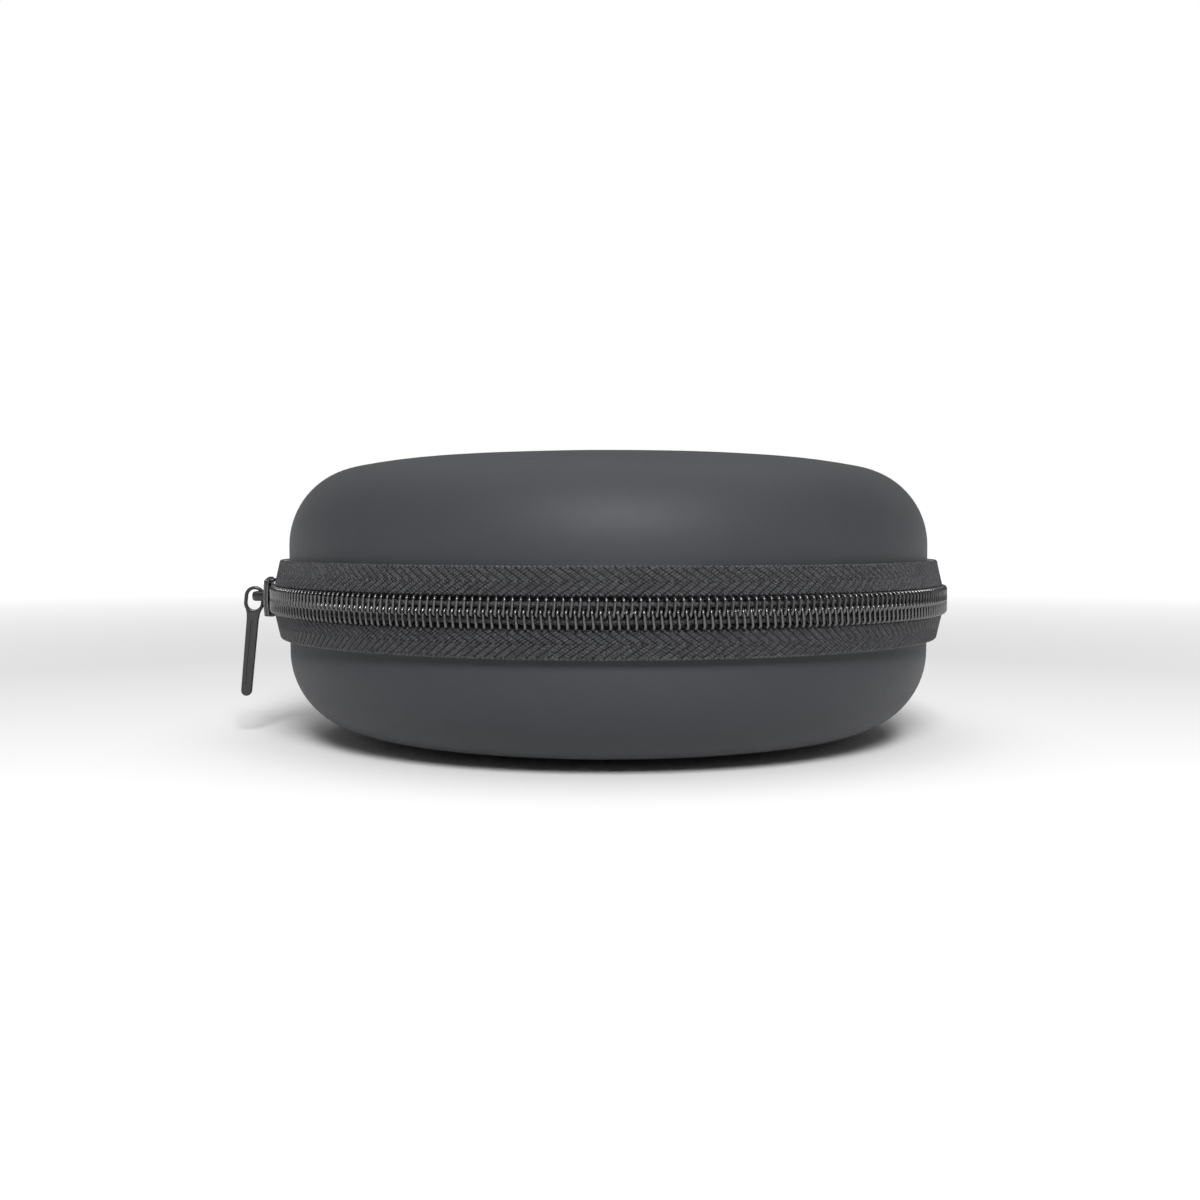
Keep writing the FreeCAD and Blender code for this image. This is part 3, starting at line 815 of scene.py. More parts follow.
class Wardrobe:
    """Every material, by the record's slot that it stands for."""

    def __init__(self) -> None:
        """Build the shared effects and each finish once."""
        effects = Effects()
        self.materials = {finish.slot: finish.build(effects) for finish in FINISHES}
        # The near-black copy of the tape's cloth, painted shade for the gaps between the ribs.
        self.ground = PAINTED_SHADE_CLOTH.build(effects)

    def dress(self, piece: Piece, slot: str) -> None:
        """Give a piece a finish, unless it wears one already."""
        if not piece.data.materials:
            piece.data.materials.append(self.materials[slot])

    def backed(
        self,
        yarns: Sequence[Piece],
        painted_shade_parts: Sequence[Piece],
        name: str,
        slot: str,
    ) -> Piece:
        """Join yarns in a slot's finish with parts in a near-black copy of it, painted shade for the
        ground that they are woven on and for the sunk yarns.

        Args:
            yarns: Parts in the slot's own finish.
            painted_shade_parts: Parts in the near-black copy, painted shade for the gaps between the
                ribs.
            name: The joined piece's name.
            slot: The record's material slot.

        Returns:
            One piece with two materials.
        """
        # The second group of parts wears the near-black painted shade.
        for parts, material in ((yarns, self.materials[slot]), (painted_shade_parts, self.ground)):
            for part in parts:
                part.data.materials.clear()
                part.data.materials.append(material)
        return joined([*yarns, *painted_shade_parts], name)


@dataclass(frozen=True)
class Herringbone:
    """How the woven tapes are laid: ribs of four slanted yarns, each a row of plump floats.

    Args:
        pitch_yarns: Yarns in one rib.
        float_length: Length of a float along its yarn, in mm.
        float_width: Width of a float across its yarn, in mm.
        float_height: Thickness of a float, in mm.
        sunk: How far each yarn of a rib lies below the tape's face, in mm.
    """

    pitch_yarns: int = 4
    float_length: float = 0.84
    float_width: float = 0.50
    float_height: float = 0.60
    sunk: tuple[float, ...] = (0.08, 0.0, 0.06, 0.34)

    def rib(
        self,
        face: Callable[[float], float],
        spot: Callable[[float, float, float], Point],
        low: float,
        high: float,
        lean: float,
        pitch: float,
    ) -> tuple[Piece, Piece]:
        """Model one rib of a column, float by float.

        Args:
            face: Radius of the tape's face at a height, both in mm.
            spot: Place of a point along the tape, up from the zip and out from the axis.
            low: Height of the column's lower side, in mm.
            high: Height of its upper side, in mm.
            lean: Distance along the tape from a yarn's lower end to its upper end, in mm.
            pitch: Distance along the tape from one rib to the next, in mm.

        Returns:
            The rib's raised floats as one mesh, and the floats of its deepest yarn, which later wear
            painted shade, as another.
        """
        count = max(2, round(math.hypot(high - low, lean) / (0.8 * self.float_length)))
        grains: dict[bool, list[Piece]] = {False: [], True: []}
        deepest = max(self.sunk)
        for yarn, sunk in enumerate(self.sunk):
            shift = pitch * ((yarn + 0.5) / self.pitch_yarns - 0.5)
            stagger = 0.25 if yarn % 2 else -0.25
            for number in range(count):
                share = (number + 0.5 + stagger) / count
                height = low + (high - low) * share
                place = spot(lean * (share - 0.5) + shift, height, face(height) - sunk - 0.12)
                ahead = spot(lean * (share - 0.4) + shift, height + (high - low) * 0.1, face(height))
                slope = math.atan2(ahead[2] - place[2], ahead[1] - place[1])
                # The deepest yarn goes to the mesh that wears the near-black painted shade.
                grains[sunk == deepest].append(self.grain(place, slope))
        return joined(grains[False], "rib"), joined(grains[True], "shaded_rib")

    def grain(self, place: Point, slope: float) -> Piece:
        """One float: a plump low-sided grain along its yarn."""
        deselect()
        size = (self.float_height * MM, self.float_length * MM, self.float_width * MM)
        bpy.ops.mesh.primitive_uv_sphere_add(
            segments=6, ring_count=2, radius=0.5, location=place, scale=size,
            rotation=(slope, 0, 0),
        )
        return settle(bpy.context.active_object)


@dataclass
class SubAssembly:
    """Something that builds pieces, dresses them and hands them to the frame's bodies."""

    measures: Measures
    wardrobe: Wardrobe

    def hand_over(
        self, piece: Piece, slot: str, body: str, nodes: Iterable[str] = ()
    ) -> Piece:
        """Dress a finished piece and let it ride on a body.

        Args:
            piece: The finished piece.
            slot: The record's material slot.
            body: The body that it moves with.
            nodes: The frame's nodes that it stands for.

        Returns:
            The piece.
        """
        self.wardrobe.dress(piece, slot)
        if nodes:
            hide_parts(*nodes)
        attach(piece, body)
        log.info("%s rides on %s, %d faces", piece.name, body, len(piece.data.polygons))
        return piece


# --- shells -------------------------------------------------------------------------------


@dataclass
class Shell(SubAssembly):
    """One moulded shell with its lining, its bound rim and the seam round it."""

    half: Half = Half.LID
    steps: int = 240
    undulation: float = 0.12 * MM

    def bowl_line(self, depth: float, lowest: float) -> list[Flat]:
        """Outline from the axis to the rim, at a depth below the outer face.

        Args:
            depth: How far below the outer face the line runs.
            lowest: Height above the zip at which it ends.

        Returns:
            Points as (radius, height above the zip).
        """
        sizes = self.measures
        top = sizes.half_height - depth
        dome = sizes.dome - depth
        corner = sizes.corner - depth
        sideways = (sizes.wall - depth - corner - sizes.flat) / (dome - corner)
        lean = math.degrees(math.acos(sideways))
        dome_centre = (sizes.flat, top - dome)
        reach = dome - corner
        corner_centre = (
            dome_centre[0] + reach * sideways,
            dome_centre[1] + reach * math.sqrt(1 - sideways**2),
        )
        flat = [(sizes.flat * share, top) for share in (0.0, 0.2, 0.4, 0.6, 0.8)]
        outline = flat + arc_points(dome_centre, dome, 90.0, lean, 8)
        outline += arc_points(corner_centre, corner, lean, 0.0, 18)[1:]
        wall_top = corner_centre[1]
        drops = (0.25, 0.5, 0.75, 1.0)
        return outline + [
            (sizes.wall - depth, wall_top + (lowest - wall_top) * share) for share in drops
        ]

    def lip_line(self) -> list[Flat]:
        """Outline of the rounded lip that the zip tape is sewn over."""
        lip = [(78.15, 8.75), (78.9, 8.35), (79.35, 7.9), (79.75, 6.4), (79.95, 5.4), (79.6, 5.0)]
        return [(radius * MM, height * MM) for radius, height in lip]

    def flipped(self, outline: Sequence[Flat]) -> list[Flat]:
        """An outline drawn above the zip, turned to this half's own side."""
        return [(radius, height * self.half.up) for radius, height in outline]

    def moulded_shell(self) -> Piece:
        """The foam shell with its skin, as one closed moulding."""
        outer = self.bowl_line(0.0, 9.3 * MM) + self.lip_line()
        inner = self.bowl_line(self.measures.shell_thickness, self.measures.rim)
        section = self.flipped(outer + inner[::-1])
        piece = lathe(
            f"{self.half.body}_moulded_shell", section, self.steps, height=self.measures.zip_height
        )
        ruffle(piece, self.undulation, 26 * MM)
        return smooth(piece)

    def inner_lining(self) -> Piece:
        """Brushed cloth bonded inside the shell."""
        depth = self.measures.shell_thickness
        outer = self.bowl_line(depth + 0.04 * MM, self.measures.rim)
        inner = self.bowl_line(depth + self.measures.lining_thickness, self.measures.rim)
        section = self.flipped(outer + inner[::-1])
        piece = lathe(f"{self.half.body}_cloth_lining", section, 160, height=self.measures.zip_height)
        ruffle(piece, 0.10 * MM, 12 * MM)
        return smooth(piece)

    def bound_rim(self) -> Piece:
        """Cloth tape folded over the cut rim, a little uneven along its fold."""
        section = [
            (77.9, 4.95), (72.25, 4.95), (72.15, 5.05), (72.15, 9.6), (71.95, 9.95),
            (71.6, 9.8), (71.5, 9.3), (71.5, 5.1), (71.65, 4.55), (72.1, 4.36),
            (74.0, 4.34), (77.2, 4.34), (77.75, 4.45), (77.95, 4.7),
        ]
        points = self.flipped([(radius * MM, height * MM) for radius, height in section])
        piece = lathe(f"{self.half.body}_bound_rim", points, 220, height=self.measures.zip_height)
        ruffle(piece, 0.14 * MM, 4 * MM)
        return smooth(piece, 60)

    def seam(self) -> Piece:
        """Round of single stitches along the inner leg of the binding."""
        count = 150
        radius = 71.35 * MM
        height = 8.2 * MM * self.half.up + self.measures.zip_height
        stitch = bead("stitch", (radius, 0, height), (0.55 * MM, 2.4 * MM, 0.6 * MM))
        row = ring_array(stitch, count, math.tau / count, 0.0)
        row.name = f"{self.half.body}_seam_stitches"
        return smooth(row, 80)

    def build(self) -> None:
        """Make the shell's four pieces."""
        body = self.half.body
        self.hand_over(self.moulded_shell(), "shell_skin", body, [f"{body}_shell"])
        self.hand_over(self.inner_lining(), "lining", body, [f"{body}_lining"])
        self.hand_over(self.bound_rim(), "binding", body, [f"{body}_rim_binding"])
        self.hand_over(self.seam(), "thread", body, [f"{body}_seam_thread"])


# --- the zip ------------------------------------------------------------------------------


@dataclass
class ZipSide(SubAssembly):
    """One side of the zip: woven tape, coil, its core cord and the end stops."""

    half: Half = Half.LID
    tape_arc: float = math.radians(318.0)
    coil_arc: float = math.radians(313.0)
    turns: int = 270
    ribs: int = 204
    filament: float = 0.31 * MM
    stop_wraps: int = 7
    stop_gap_degrees: float = 0.35
    stop_step_degrees: float = 0.24
    weave: Herringbone = Herringbone()

    def spot(self, along: float, height: float, radius: float) -> Point:
        """Place near +X, with the height taken towards this side's own half. In mm."""
        return self.measures.spot(along, height * self.half.up, radius)

    def coil_pitch(self) -> float:
        """Distance from one turn of the coil to the next, in mm."""
        return self.coil_arc / self.turns * self.measures.crest / MM

    def coil_row(self, piece: Piece, count: int, merge: float = 0.0) -> Piece:
        """Repeat a part of the coil along the tape, the base's half a pitch after the lid's."""
        step = self.coil_arc / self.turns
        offset = 0.0 if self.half is Half.LID else step / 2
        start = self.measures.front - self.coil_arc / 2 + offset
        return ring_array(piece, count, step, start, merge)

    def woven_ground(self) -> Piece:
        """The tape's body: sloping band over the lip, and the seat behind the coil."""
        section = [
            (79.8, 9.0), (79.9, 8.8), (81.08, 3.6), (80.9, 3.35), (79.95, 3.25), (79.95, 0.75),
            (79.85, 0.65), (79.4, 0.65), (79.3, 0.75), (79.3, 4.1), (80.4, 4.2),
            (79.35, 8.9), (79.5, 9.1), (79.8, 9.12),
        ]
        points = [(radius * MM, height * MM * self.half.up) for radius, height in section]
        piece = lathe(
            "ground", points, 300, self.tape_arc, self.measures.front, self.measures.zip_height
        )
        return smooth(piece, 50)

    def rib_column(self, low: float, high: float, lean: float) -> list[Piece]:
        """One column of the herringbone, all round the tape.

        Args:
            low: Height of the column's side towards the zip, in mm.
            high: Height of its other side, in mm.
            lean: Distance along the tape from a rib's low end to its high end, in mm.

        Returns:
            The column's raised yarns and its sunk ones.
        """
        step = self.tape_arc / self.ribs
        pitch = step * self.measures.crest / MM
        parts = self.weave.rib(self.face, self.spot, low, high, lean, pitch)
        start = first_of(self.measures.front, self.tape_arc, step)
        return [ring_array(part, self.ribs, step, start) for part in parts]

    def face(self, height: float) -> float:
        """Radius of the tape's face at a height from the zip's middle, in mm."""
        return self.measures.face_radius(height * MM) / MM

    def selvedge(self) -> Piece:
        """Row of small loops that closes the tape's outer edge."""
        loop = bead("loop", self.spot(0, 8.95, 79.85), (0.75 * MM, 1.25 * MM, 0.62 * MM), 6, 4)
        count = 2 * self.ribs
        step = self.tape_arc / count
        return ring_array(loop, count, step, first_of(self.measures.front, self.tape_arc, step))

    def tape(self) -> Piece:
        """The tape's body with the herringbone's outer column and its selvedge."""
        outer, sunk = self.rib_column(6.05, 8.85, -4.2)
        name = f"{self.half.body}_woven_tape"
        # The sunk yarns and the tape's body wear the near-black cloth: painted shade between the ribs.
        shaded = [sunk, self.woven_ground()]
        tape = self.wardrobe.backed([outer, self.selvedge()], shaded, name, "zip_tape")
        return smooth(tape, 70)

    def inner_weave(self) -> Piece:
        """The herringbone's column next to the coil, on the same ground."""
        inner, sunk = self.rib_column(3.45, 6.0, 3.6)
        name = f"{self.half.body}_inner_weave"
        # The sunk yarns wear the near-black cloth: painted shade between the ribs.
        return smooth(self.wardrobe.backed([inner], [sunk], name, "zip_tape"), 70)

    def coil(self) -> Piece:
        """The coil: one turn with its flattened head, repeated along the tape's edge."""
        top = self.measures.crest / MM - self.filament / MM
        seat = 80.38
        middle = (top + seat) / 2
        turn = [
            (0.30, 2.30, top), (0.20, 1.5, top), (0.08, 0.6, top), (0.02, 0.0, top),
            (0.02, -0.30, top - 0.08), (0.06, -0.52, top - 0.34), (0.16, -0.62, middle),
            (0.34, -0.5, seat + 0.4), (0.46, -0.1, seat + 0.05), (0.62, 0.7, seat),
            (0.92, 1.7, seat), (1.30, 2.5, seat + 0.12), (1.62, 2.88, seat + 0.55),
            (1.84, 2.96, top - 0.55), (1.94, 2.86, top - 0.22), (1.97, 2.62, top - 0.04),
        ]
        swell = [1.0, 0.98, 1.0, 1.1, 1.2, 1.24, 1.22, 1.12, 1.0, 0.94, 0.94, 0.98, 1.02, 1.04,
                 1.08, 1.06]
        turn.append((turn[0][0] + self.coil_pitch(), turn[0][1], turn[0][2]))
        swell.append(swell[0])
        path = [self.spot(*point) for point in turn]
        piece = swept_tube("coil_turn", path, self.filament, swell, sides=8, capped=False)
        turns = self.turns if self.half is Half.LID else self.turns - 1
        piece = self.coil_row(piece, turns, merge=0.09 * MM)
        piece.name = f"{self.half.body}_coil"
        return smooth(piece, 80)

    def core_cord(self) -> Piece:
        """Cord through the coil, with the sewing thread that passes between its legs."""
        length = (self.coil_pitch() + 0.4) * MM
        beads = [
            bead("core", self.spot(1.05, 1.62, 80.85), (1.0 * MM, length, 1.3 * MM), 8, 4),
            bead("lock", self.spot(1.02, 1.62, 81.45), (0.50 * MM, 0.74 * MM, 0.62 * MM), 8, 5),
        ]
        row = self.coil_row(joined(beads, "core"), self.turns - 1)
        row.name = f"{self.half.body}_coil_core"
        return smooth(row, 80)

    def end_stops(self) -> Piece:
        """Thread wound round the coil at both of its ends."""
        stops = []
        for side in (-1.0, 1.0):
            for wrap in range(self.stop_wraps):
                deselect()
                bpy.ops.mesh.primitive_torus_add(
                    location=self.spot(0, 1.85, 81.25), rotation=(math.pi / 2, 0, 0),
                    major_segments=20, minor_segments=8,
                    major_radius=1.12 * MM, minor_radius=0.26 * MM,
                )
                ring = settle(bpy.context.active_object)
                gap = math.radians(self.stop_gap_degrees + self.stop_step_degrees * wrap)
                away = self.coil_arc / 2 + gap
                stops.append(turned(ring, self.measures.front + side * away))
        piece = joined(stops, f"{self.half.body}_end_stops")
        return smooth(piece, 80)

    def build(self) -> None:
        """Make this side's five pieces."""
        body = self.half.body
        self.hand_over(self.tape(), "zip_tape", body, [f"{body}_zip_tape"])
        self.hand_over(self.inner_weave(), "zip_tape", body)
        self.hand_over(self.coil(), "zip_coil", body, [f"{body}_zip_coil"])
        self.hand_over(self.core_cord(), "thread", body)
        self.hand_over(self.end_stops(), "thread", body, [f"{body}_zip_stops"])


# --- slider and pull ----------------------------------------------------------------------


@dataclass
class Slider(SubAssembly):
    """The slider that closes the zip, drawn at +X and turned to its place."""

    length: float = 12.0 * MM
    half_width: float = 4.95 * MM
    roof: float = 84.1 * MM

    def plate(self) -> Piece:
        """Outer plate: shoulders at the closing end, drawn in towards the other."""
        thick = 1.2 * MM
        deselect()
        bpy.ops.mesh.primitive_cube_add(
            size=1.0, location=(self.roof - thick / 2, 0, 0),
            scale=(thick, self.length, 2 * self.half_width),
        )
        piece = settle(bpy.context.active_object)
        bpy.ops.object.mode_set(mode="EDIT")
        bpy.ops.mesh.select_all(action="SELECT")
        bpy.ops.mesh.subdivide(number_cuts=6)
        bpy.ops.object.mode_set(mode="OBJECT")
        for vertex in piece.data.vertices:
            along = vertex.co.y / self.length + 0.5
            taper = 1.0 - 0.2 * max(0.0, along - 0.35) ** 1.2
            nose = 1.0 - 0.16 * max(0.0, 0.25 - along) * 4
            vertex.co.z *= taper * nose
            crown = (vertex.co.z / self.half_width) ** 2
            vertex.co.x -= 0.35 * MM * crown
        add_modifier(piece, "BEVEL", width=0.32 * MM, segments=3, angle_limit=math.radians(40))
        return piece

    def rails(self) -> list[Piece]:
        """Flanges that turn down over the tapes."""
        size = (1.1 * MM, 9.6 * MM, 0.7 * MM)
        return [
            block("rail", (82.25 * MM, -0.4 * MM, side * 4.18 * MM), size, 0.18 * MM)
            for side in (-1.0, 1.0)
        ]

    def heel(self) -> list[Piece]:
        """Inner plate and the wedge that parts the coils."""
        plate = block("heel", (78.4 * MM, 0, 0), (0.95 * MM, 11.4 * MM, 7.9 * MM), 0.3 * MM)
        wedge = block("wedge", (80.9 * MM, -4.7 * MM, 0), (4.6 * MM, 1.9 * MM, 0.62 * MM), 0.2 * MM)
        return [plate, wedge]

    def bridge(self) -> Piece:
        """Arch along the slider that the pull's eye hangs on."""
        arch = [(-3.7, 83.7), (-3.3, 85.2), (-2.85, 86.3), (-2.1, 86.75), (0.0, 86.85),
                (2.1, 86.75), (2.85, 86.3), (3.3, 85.2), (3.7, 83.7)]
        path = [(radius * MM, along * MM, 0.0) for along, radius in arch]
        piece = swept_tube("bridge", path, 0.5 * MM, sides=12, curved=True)
        piece.scale = (1.0, 1.0, 2.2)
        piece.location = (0, 0, 0.3 * MM)
        return settle(piece)

    def build(self) -> None:
        """Join the slider's parts and set it on the zip."""
        parts = [self.plate(), *self.rails(), *self.heel(), self.bridge()]
        piece = joined(parts, "cast_slider")
        turned(piece, self.measures.slider_polar, self.measures.zip_height)
        smooth(piece, 35)
        self.hand_over(piece, "zip_metal", "zip_slider", ["slider_body"])


@dataclass
class Pull(SubAssembly):
    """The slim pull that hangs on the slider's bridge."""

    thickness: float = 1.4 * MM
    bevel: float = 0.28 * MM
    eye: float = 2.4 * MM
    hole: float = 1.6 * MM
    hole_reach: float = 1.8 * MM
    bar: float = 1.35 * MM
    reach: float = 23.25 * MM
    lean: float = math.radians(5.5)
    groove_top: float = -6.4 * MM
    groove_end: float = -21.4 * MM
    groove_radius: float = 0.36 * MM

    def outline(self) -> list[Flat]:
        """Outer edge of the eye and the bar, eased where they meet."""
        eye = arc_points((0, 0), self.eye, 90, 180, 8)
        flank = arc_points((0, -self.hole_reach), self.eye, 180, 218, 5)
        shoulder = [(-(self.bar + 0.22 * MM), -self.hole_reach - 2.5 * MM),
                    (-(self.bar + 0.08 * MM), -self.hole_reach - 4.0 * MM)]
        tip = arc_points((0, -self.reach), self.bar - 0.06 * MM, 180, 270, 8)
        half = eye + flank + shoulder + tip
        mirrored = [(-x, y) for x, y in half[::-1] if x < -TINY * MM]
        return half + mirrored

    def slot(self, top: float, bottom: float, radius: float) -> list[Flat]:
        """Edge of an upright slot with round ends."""
        return arc_points((0, top), radius, 0, 180, 12) + arc_points((0, bottom), radius, 180, 360, 12)

    def flat_part(
        self, name: str, edges: Sequence[Sequence[Flat]], half: float, bevel: float
    ) -> Piece:
        """Fill closed edges, thicken them and round their rims.

        Args:
            name: The part's name.
            edges: Closed outlines; one inside another is a hole.
            half: Half of the thickness.
            bevel: Radius of the rounded rim.

        Returns:
            A closed mesh in the XZ plane.
        """
        deselect()
        bpy.ops.curve.primitive_nurbs_path_add()
        piece = bpy.context.active_object
        curve = piece.data
        curve.splines.clear()
        curve.dimensions = "2D"
        curve.fill_mode = "BOTH"
        for edge in edges:
            spline = curve.splines.new("POLY")
            spline.points.add(len(edge) - 1)
            for point, (x, y) in zip(spline.points, edge):
                point.co = (x, y, 0, 1)
            spline.use_cyclic_u = True
        curve.extrude = half - bevel
        curve.bevel_depth = bevel
        curve.bevel_resolution = 2
        curve.offset = -bevel
        take(piece)
        bpy.ops.object.convert(target="MESH")
        piece = bpy.context.active_object
        piece.name = name
        piece.rotation_euler = (math.pi / 2, 0, 0)
        return weld(settle(piece))

    def build(self) -> None:
        """Make the pull, sink a groove in both faces and hang it."""
        eye_hole = self.slot(0.0, -self.hole_reach, self.hole)
        piece = self.flat_part("slim_pull", [self.outline(), eye_hole], self.thickness / 2, self.bevel)
        for side in (-1.0, 1.0):
            edge = self.slot(self.groove_top, self.groove_end, self.groove_radius)
            cutter = self.flat_part("groove", [edge], 0.35 * MM, 0.08 * MM)
            cutter.location = (0, side * self.thickness / 2, 0)
            settle(cutter)
            add_modifier(piece, "BOOLEAN", operation="DIFFERENCE", object=cutter, solver="EXACT")
            bpy.data.objects.remove(cutter)
        piece.rotation_euler = (0, -self.lean, 0)
        piece.location = (self.measures.pivot_radius, 0, self.measures.pivot.z)
        settle(piece)
        turned(piece, self.measures.slider_polar)
        smooth(piece, 35)
        self.hand_over(piece, "zip_metal", "zip_pull", ["pull_tab"])


# --- hinge --------------------------------------------------------------------------------


@dataclass
class Hinge(SubAssembly):
    """The woven strip outside and the lining strip inside that join the two halves."""

    arc: float = math.radians(40.0)
    back: float = math.radians(90.0)
    bend: float = 5.0 * MM
    ribs: int = 26
    hem_arc: float = math.radians(3.6)
    hem_rise: float = 0.55
    weave: Herringbone = Herringbone()

    def across(self, piece: Piece, slot: str, nodes: Sequence[str]) -> None:
        """Dress a strip, hide the frame's nodes that it stands for, and bake its place into its mesh."""
        self.wardrobe.dress(piece, slot)
        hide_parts(*nodes)
        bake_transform(piece)
        log.info("%s bends between base and lid, %d faces", piece.name, len(piece.data.polygons))

    def ground(
        self,
        name: str,
        section: Sequence[Flat],
        layers: int,
        thickness: float,
        arc: float | None = None,
        aside: float = 0.0,
    ) -> Piece:
        """A strip of the hinge with enough rows of faces to bend.

        Args:
            name: The strip's name.
            section: Outer face from top to bottom, as (radius, height) in mm.
            layers: Rows of faces between two points of the section.
            thickness: The strip's thickness, in mm.
            arc: Angle that it spans, the whole hinge's if left out.
            aside: Turn from the hinge's middle.

        Returns:
            The strip as a closed piece.
        """
        fine = []
        for (r0, h0), (r1, h1) in zip(section, section[1:]):
            fine += [
                (r0 + (r1 - r0) * step / layers, h0 + (h1 - h0) * step / layers)
                for step in range(layers)
            ]
        fine.append(section[-1])
        outside = [(radius * MM, height * MM) for radius, height in fine]
        inside = [(radius - thickness * MM, height * 0.995) for radius, height in outside[::-1]]
        span = arc or self.arc
        steps = max(4, round(48 * span / self.arc))
        middle = self.back + aside
        return lathe(name, outside + inside, steps, span, middle, self.measures.zip_height)

    def outer_strip(self) -> Piece:
        """Herringbone strip of six columns of ribs, with a hem over each end."""
        section = [(79.85, 9.0), (82.0, 3.2), (82.15, 0.0), (82.0, -3.2), (79.85, -9.0)]
        ground = self.ground("hinge_ground", section, 6, 0.5)
        columns = [
            self.rib_column(section, low, high, lean)
            for low, high, lean in (
                (-8.85, -6.05, 4.2), (-6.0, -3.0, -4.2), (-3.0, 0.0, 4.2),
                (0.0, 3.0, -4.2), (3.0, 6.0, 4.2), (6.05, 8.85, -4.2),
            )
        ]
        hem_line = [(radius + self.hem_rise, height * 1.01) for radius, height in section]
        hems = [
            self.ground("hem", hem_line, 6, 0.9, self.hem_arc, side * self.arc / 2)
            for side in (-1.0, 1.0)
        ]
        hems = [ruffle(hem, 0.12 * MM, 1.2 * MM) for hem in hems]
        raised = [pair[0] for pair in columns]
        # The sunk yarns, the strip's body and both hems wear the near-black cloth: painted shade.
        shaded = [pair[1] for pair in columns] + [ground] + hems
        name = "hinge_woven_strip"
        return smooth(self.wardrobe.backed(raised, shaded, name, "zip_tape"), 60)

    def rib_column(
        self, section: Sequence[Flat], low: float, high: float, lean: float
    ) -> list[Piece]:
        """One column of slanted ribs on the strip's outer face, measured as the tape's are."""
        step = self.arc / self.ribs

        def face(height: float) -> float:
            """Radius of the strip's face at a height, in mm."""
            return self.face(section, height) + 0.3

        pitch = step * self.measures.crest / MM
        parts = self.weave.rib(face, self.measures.spot, low, high, lean, pitch)
        start = first_of(self.back, self.arc, step)
        return [ring_array(part, self.ribs, step, start) for part in parts]

    def face(self, section: Sequence[Flat], height: float) -> float:
        """Radius of a section's outer face at a height, in mm."""
        for (r0, h0), (r1, h1) in zip(section, section[1:]):
            if h1 <= height <= h0:
                return r0 + (r1 - r0) * (height - h0) / (h1 - h0)
        return section[0][0]

    def inner_strip(self) -> Piece:
        """Lining strip that covers the rims' gap inside the hinge."""
        section = [(78.5, 4.75), (78.58, 3.0), (78.6, 0.0), (78.58, -3.0), (78.5, -4.75)]
        piece = self.ground("hinge_lining_strip", section, 4, 0.55)
        ruffle(piece, 0.06 * MM, 5 * MM)
        return smooth(piece, 50)

    def build(self) -> None:
        """Make both strips."""
        self.across(self.outer_strip(), "zip_tape", ["hinge_fabric"])
        self.across(self.inner_strip(), "lining", ["hinge_lining"])


# --- pocket in the lid --------------------------------------------------------------------


@dataclass
class Pocket(SubAssembly):
    """Net pocket across the front of the lid, with its elastic mouth and its edging."""

    radius: float = 71.7 * MM
    mouth: float = 5.0 * MM
    height: float = 14.0 * MM
    columns: int = 60
    rows: int = 36
    edge_group: str = "sewn_edge"

    def net(self) -> Piece:
        """Net stretched over the lid's hollow, hanging a little under its own weight."""
        deselect()
        bpy.ops.mesh.primitive_grid_add(
            x_subdivisions=self.columns, y_subdivisions=self.rows, size=2.0
        )
        piece = bpy.context.active_object
        piece.name = "net_pocket"
        level = self.measures.zip_height + self.height
        front = -self.radius * 0.985
        sewn = []
        for vertex in piece.data.vertices:
            across, back = vertex.co.x, vertex.co.y
            y = front + (self.mouth - front) * (back + 1) / 2
            half = math.sqrt(self.radius**2 - y**2)
            vertex.co = (across * half, y, level)
            if abs(across) > 0.999 or abs(back) > 0.999:
                sewn.append(vertex.index)
        piece.vertex_groups.new(name=self.edge_group).add(sewn, 1.0, "REPLACE")
        self.hang(piece)
        add_modifier(piece, "SOLIDIFY", thickness=0.3 * MM, offset=0.0)
        return smooth(piece, 60)

    def hang(self, piece: Piece) -> None:
        """Let the net settle between its sewn edges for a short, fixed run."""
        take(piece)
        modifier = piece.modifiers.new("Hang", "CLOTH")
        cloth = modifier.settings
        cloth.quality = 6
        cloth.mass = 0.05
        cloth.tension_stiffness = 40
        cloth.compression_stiffness = 40
        cloth.vertex_group_mass = self.edge_group
        cloth.shrink_min = -0.004
        modifier.collision_settings.use_collision = False
        scene = bpy.context.scene
        for number in range(1, 21):
            scene.frame_set(number)
        take(piece)
        bpy.ops.object.modifier_apply(modifier=modifier.name)
        scene.frame_set(1)

    def elastic(self) -> Piece:
        """Gathered binding over the elastic in the pocket's mouth."""
        half = 70.0 * MM
        level = self.measures.zip_height + self.height
        back = self.mouth + 1.25 * MM
        count = 150
        path = []
        swell = []
        for number in range(count + 1):
            share = number / count
            path.append((-half + 2 * half * share, back, level))
            swell.append(1.0 if number % 2 else 0.84)
        piece = swept_tube("gathered_elastic", path, 1.2 * MM, swell, sides=12)
        return smooth(piece, 80)

    def edging(self) -> Piece:
        """Tape sewn over the net's round edge."""
        base = self.height / MM
        section = [
            (70.7, base + 0.6), (70.75, base + 2.4), (70.5, base + 2.75), (69.9, base + 2.75),
            (69.6, base + 2.4), (69.55, base + 0.9), (69.7, base + 0.6),
        ]
        points = [(radius * MM, height * MM) for radius, height in section]
        arc = math.radians(166.0)
        piece = lathe("pocket_edge_tape", points, 120, arc, self.measures.front, self.measures.zip_height)
        ruffle(piece, 0.12 * MM, 3 * MM)
        return smooth(piece, 60)

    def build(self) -> None:
        """Make the pocket's three pieces and let them ride on the lid."""
        net = self.hand_over(self.net(), "mesh", "lid", ["mesh_pocket"])
        elastic = self.hand_over(self.elastic(), "binding", "lid", ["pocket_elastic"])
        edging = self.hand_over(self.edging(), "binding", "lid", ["pocket_edging"])


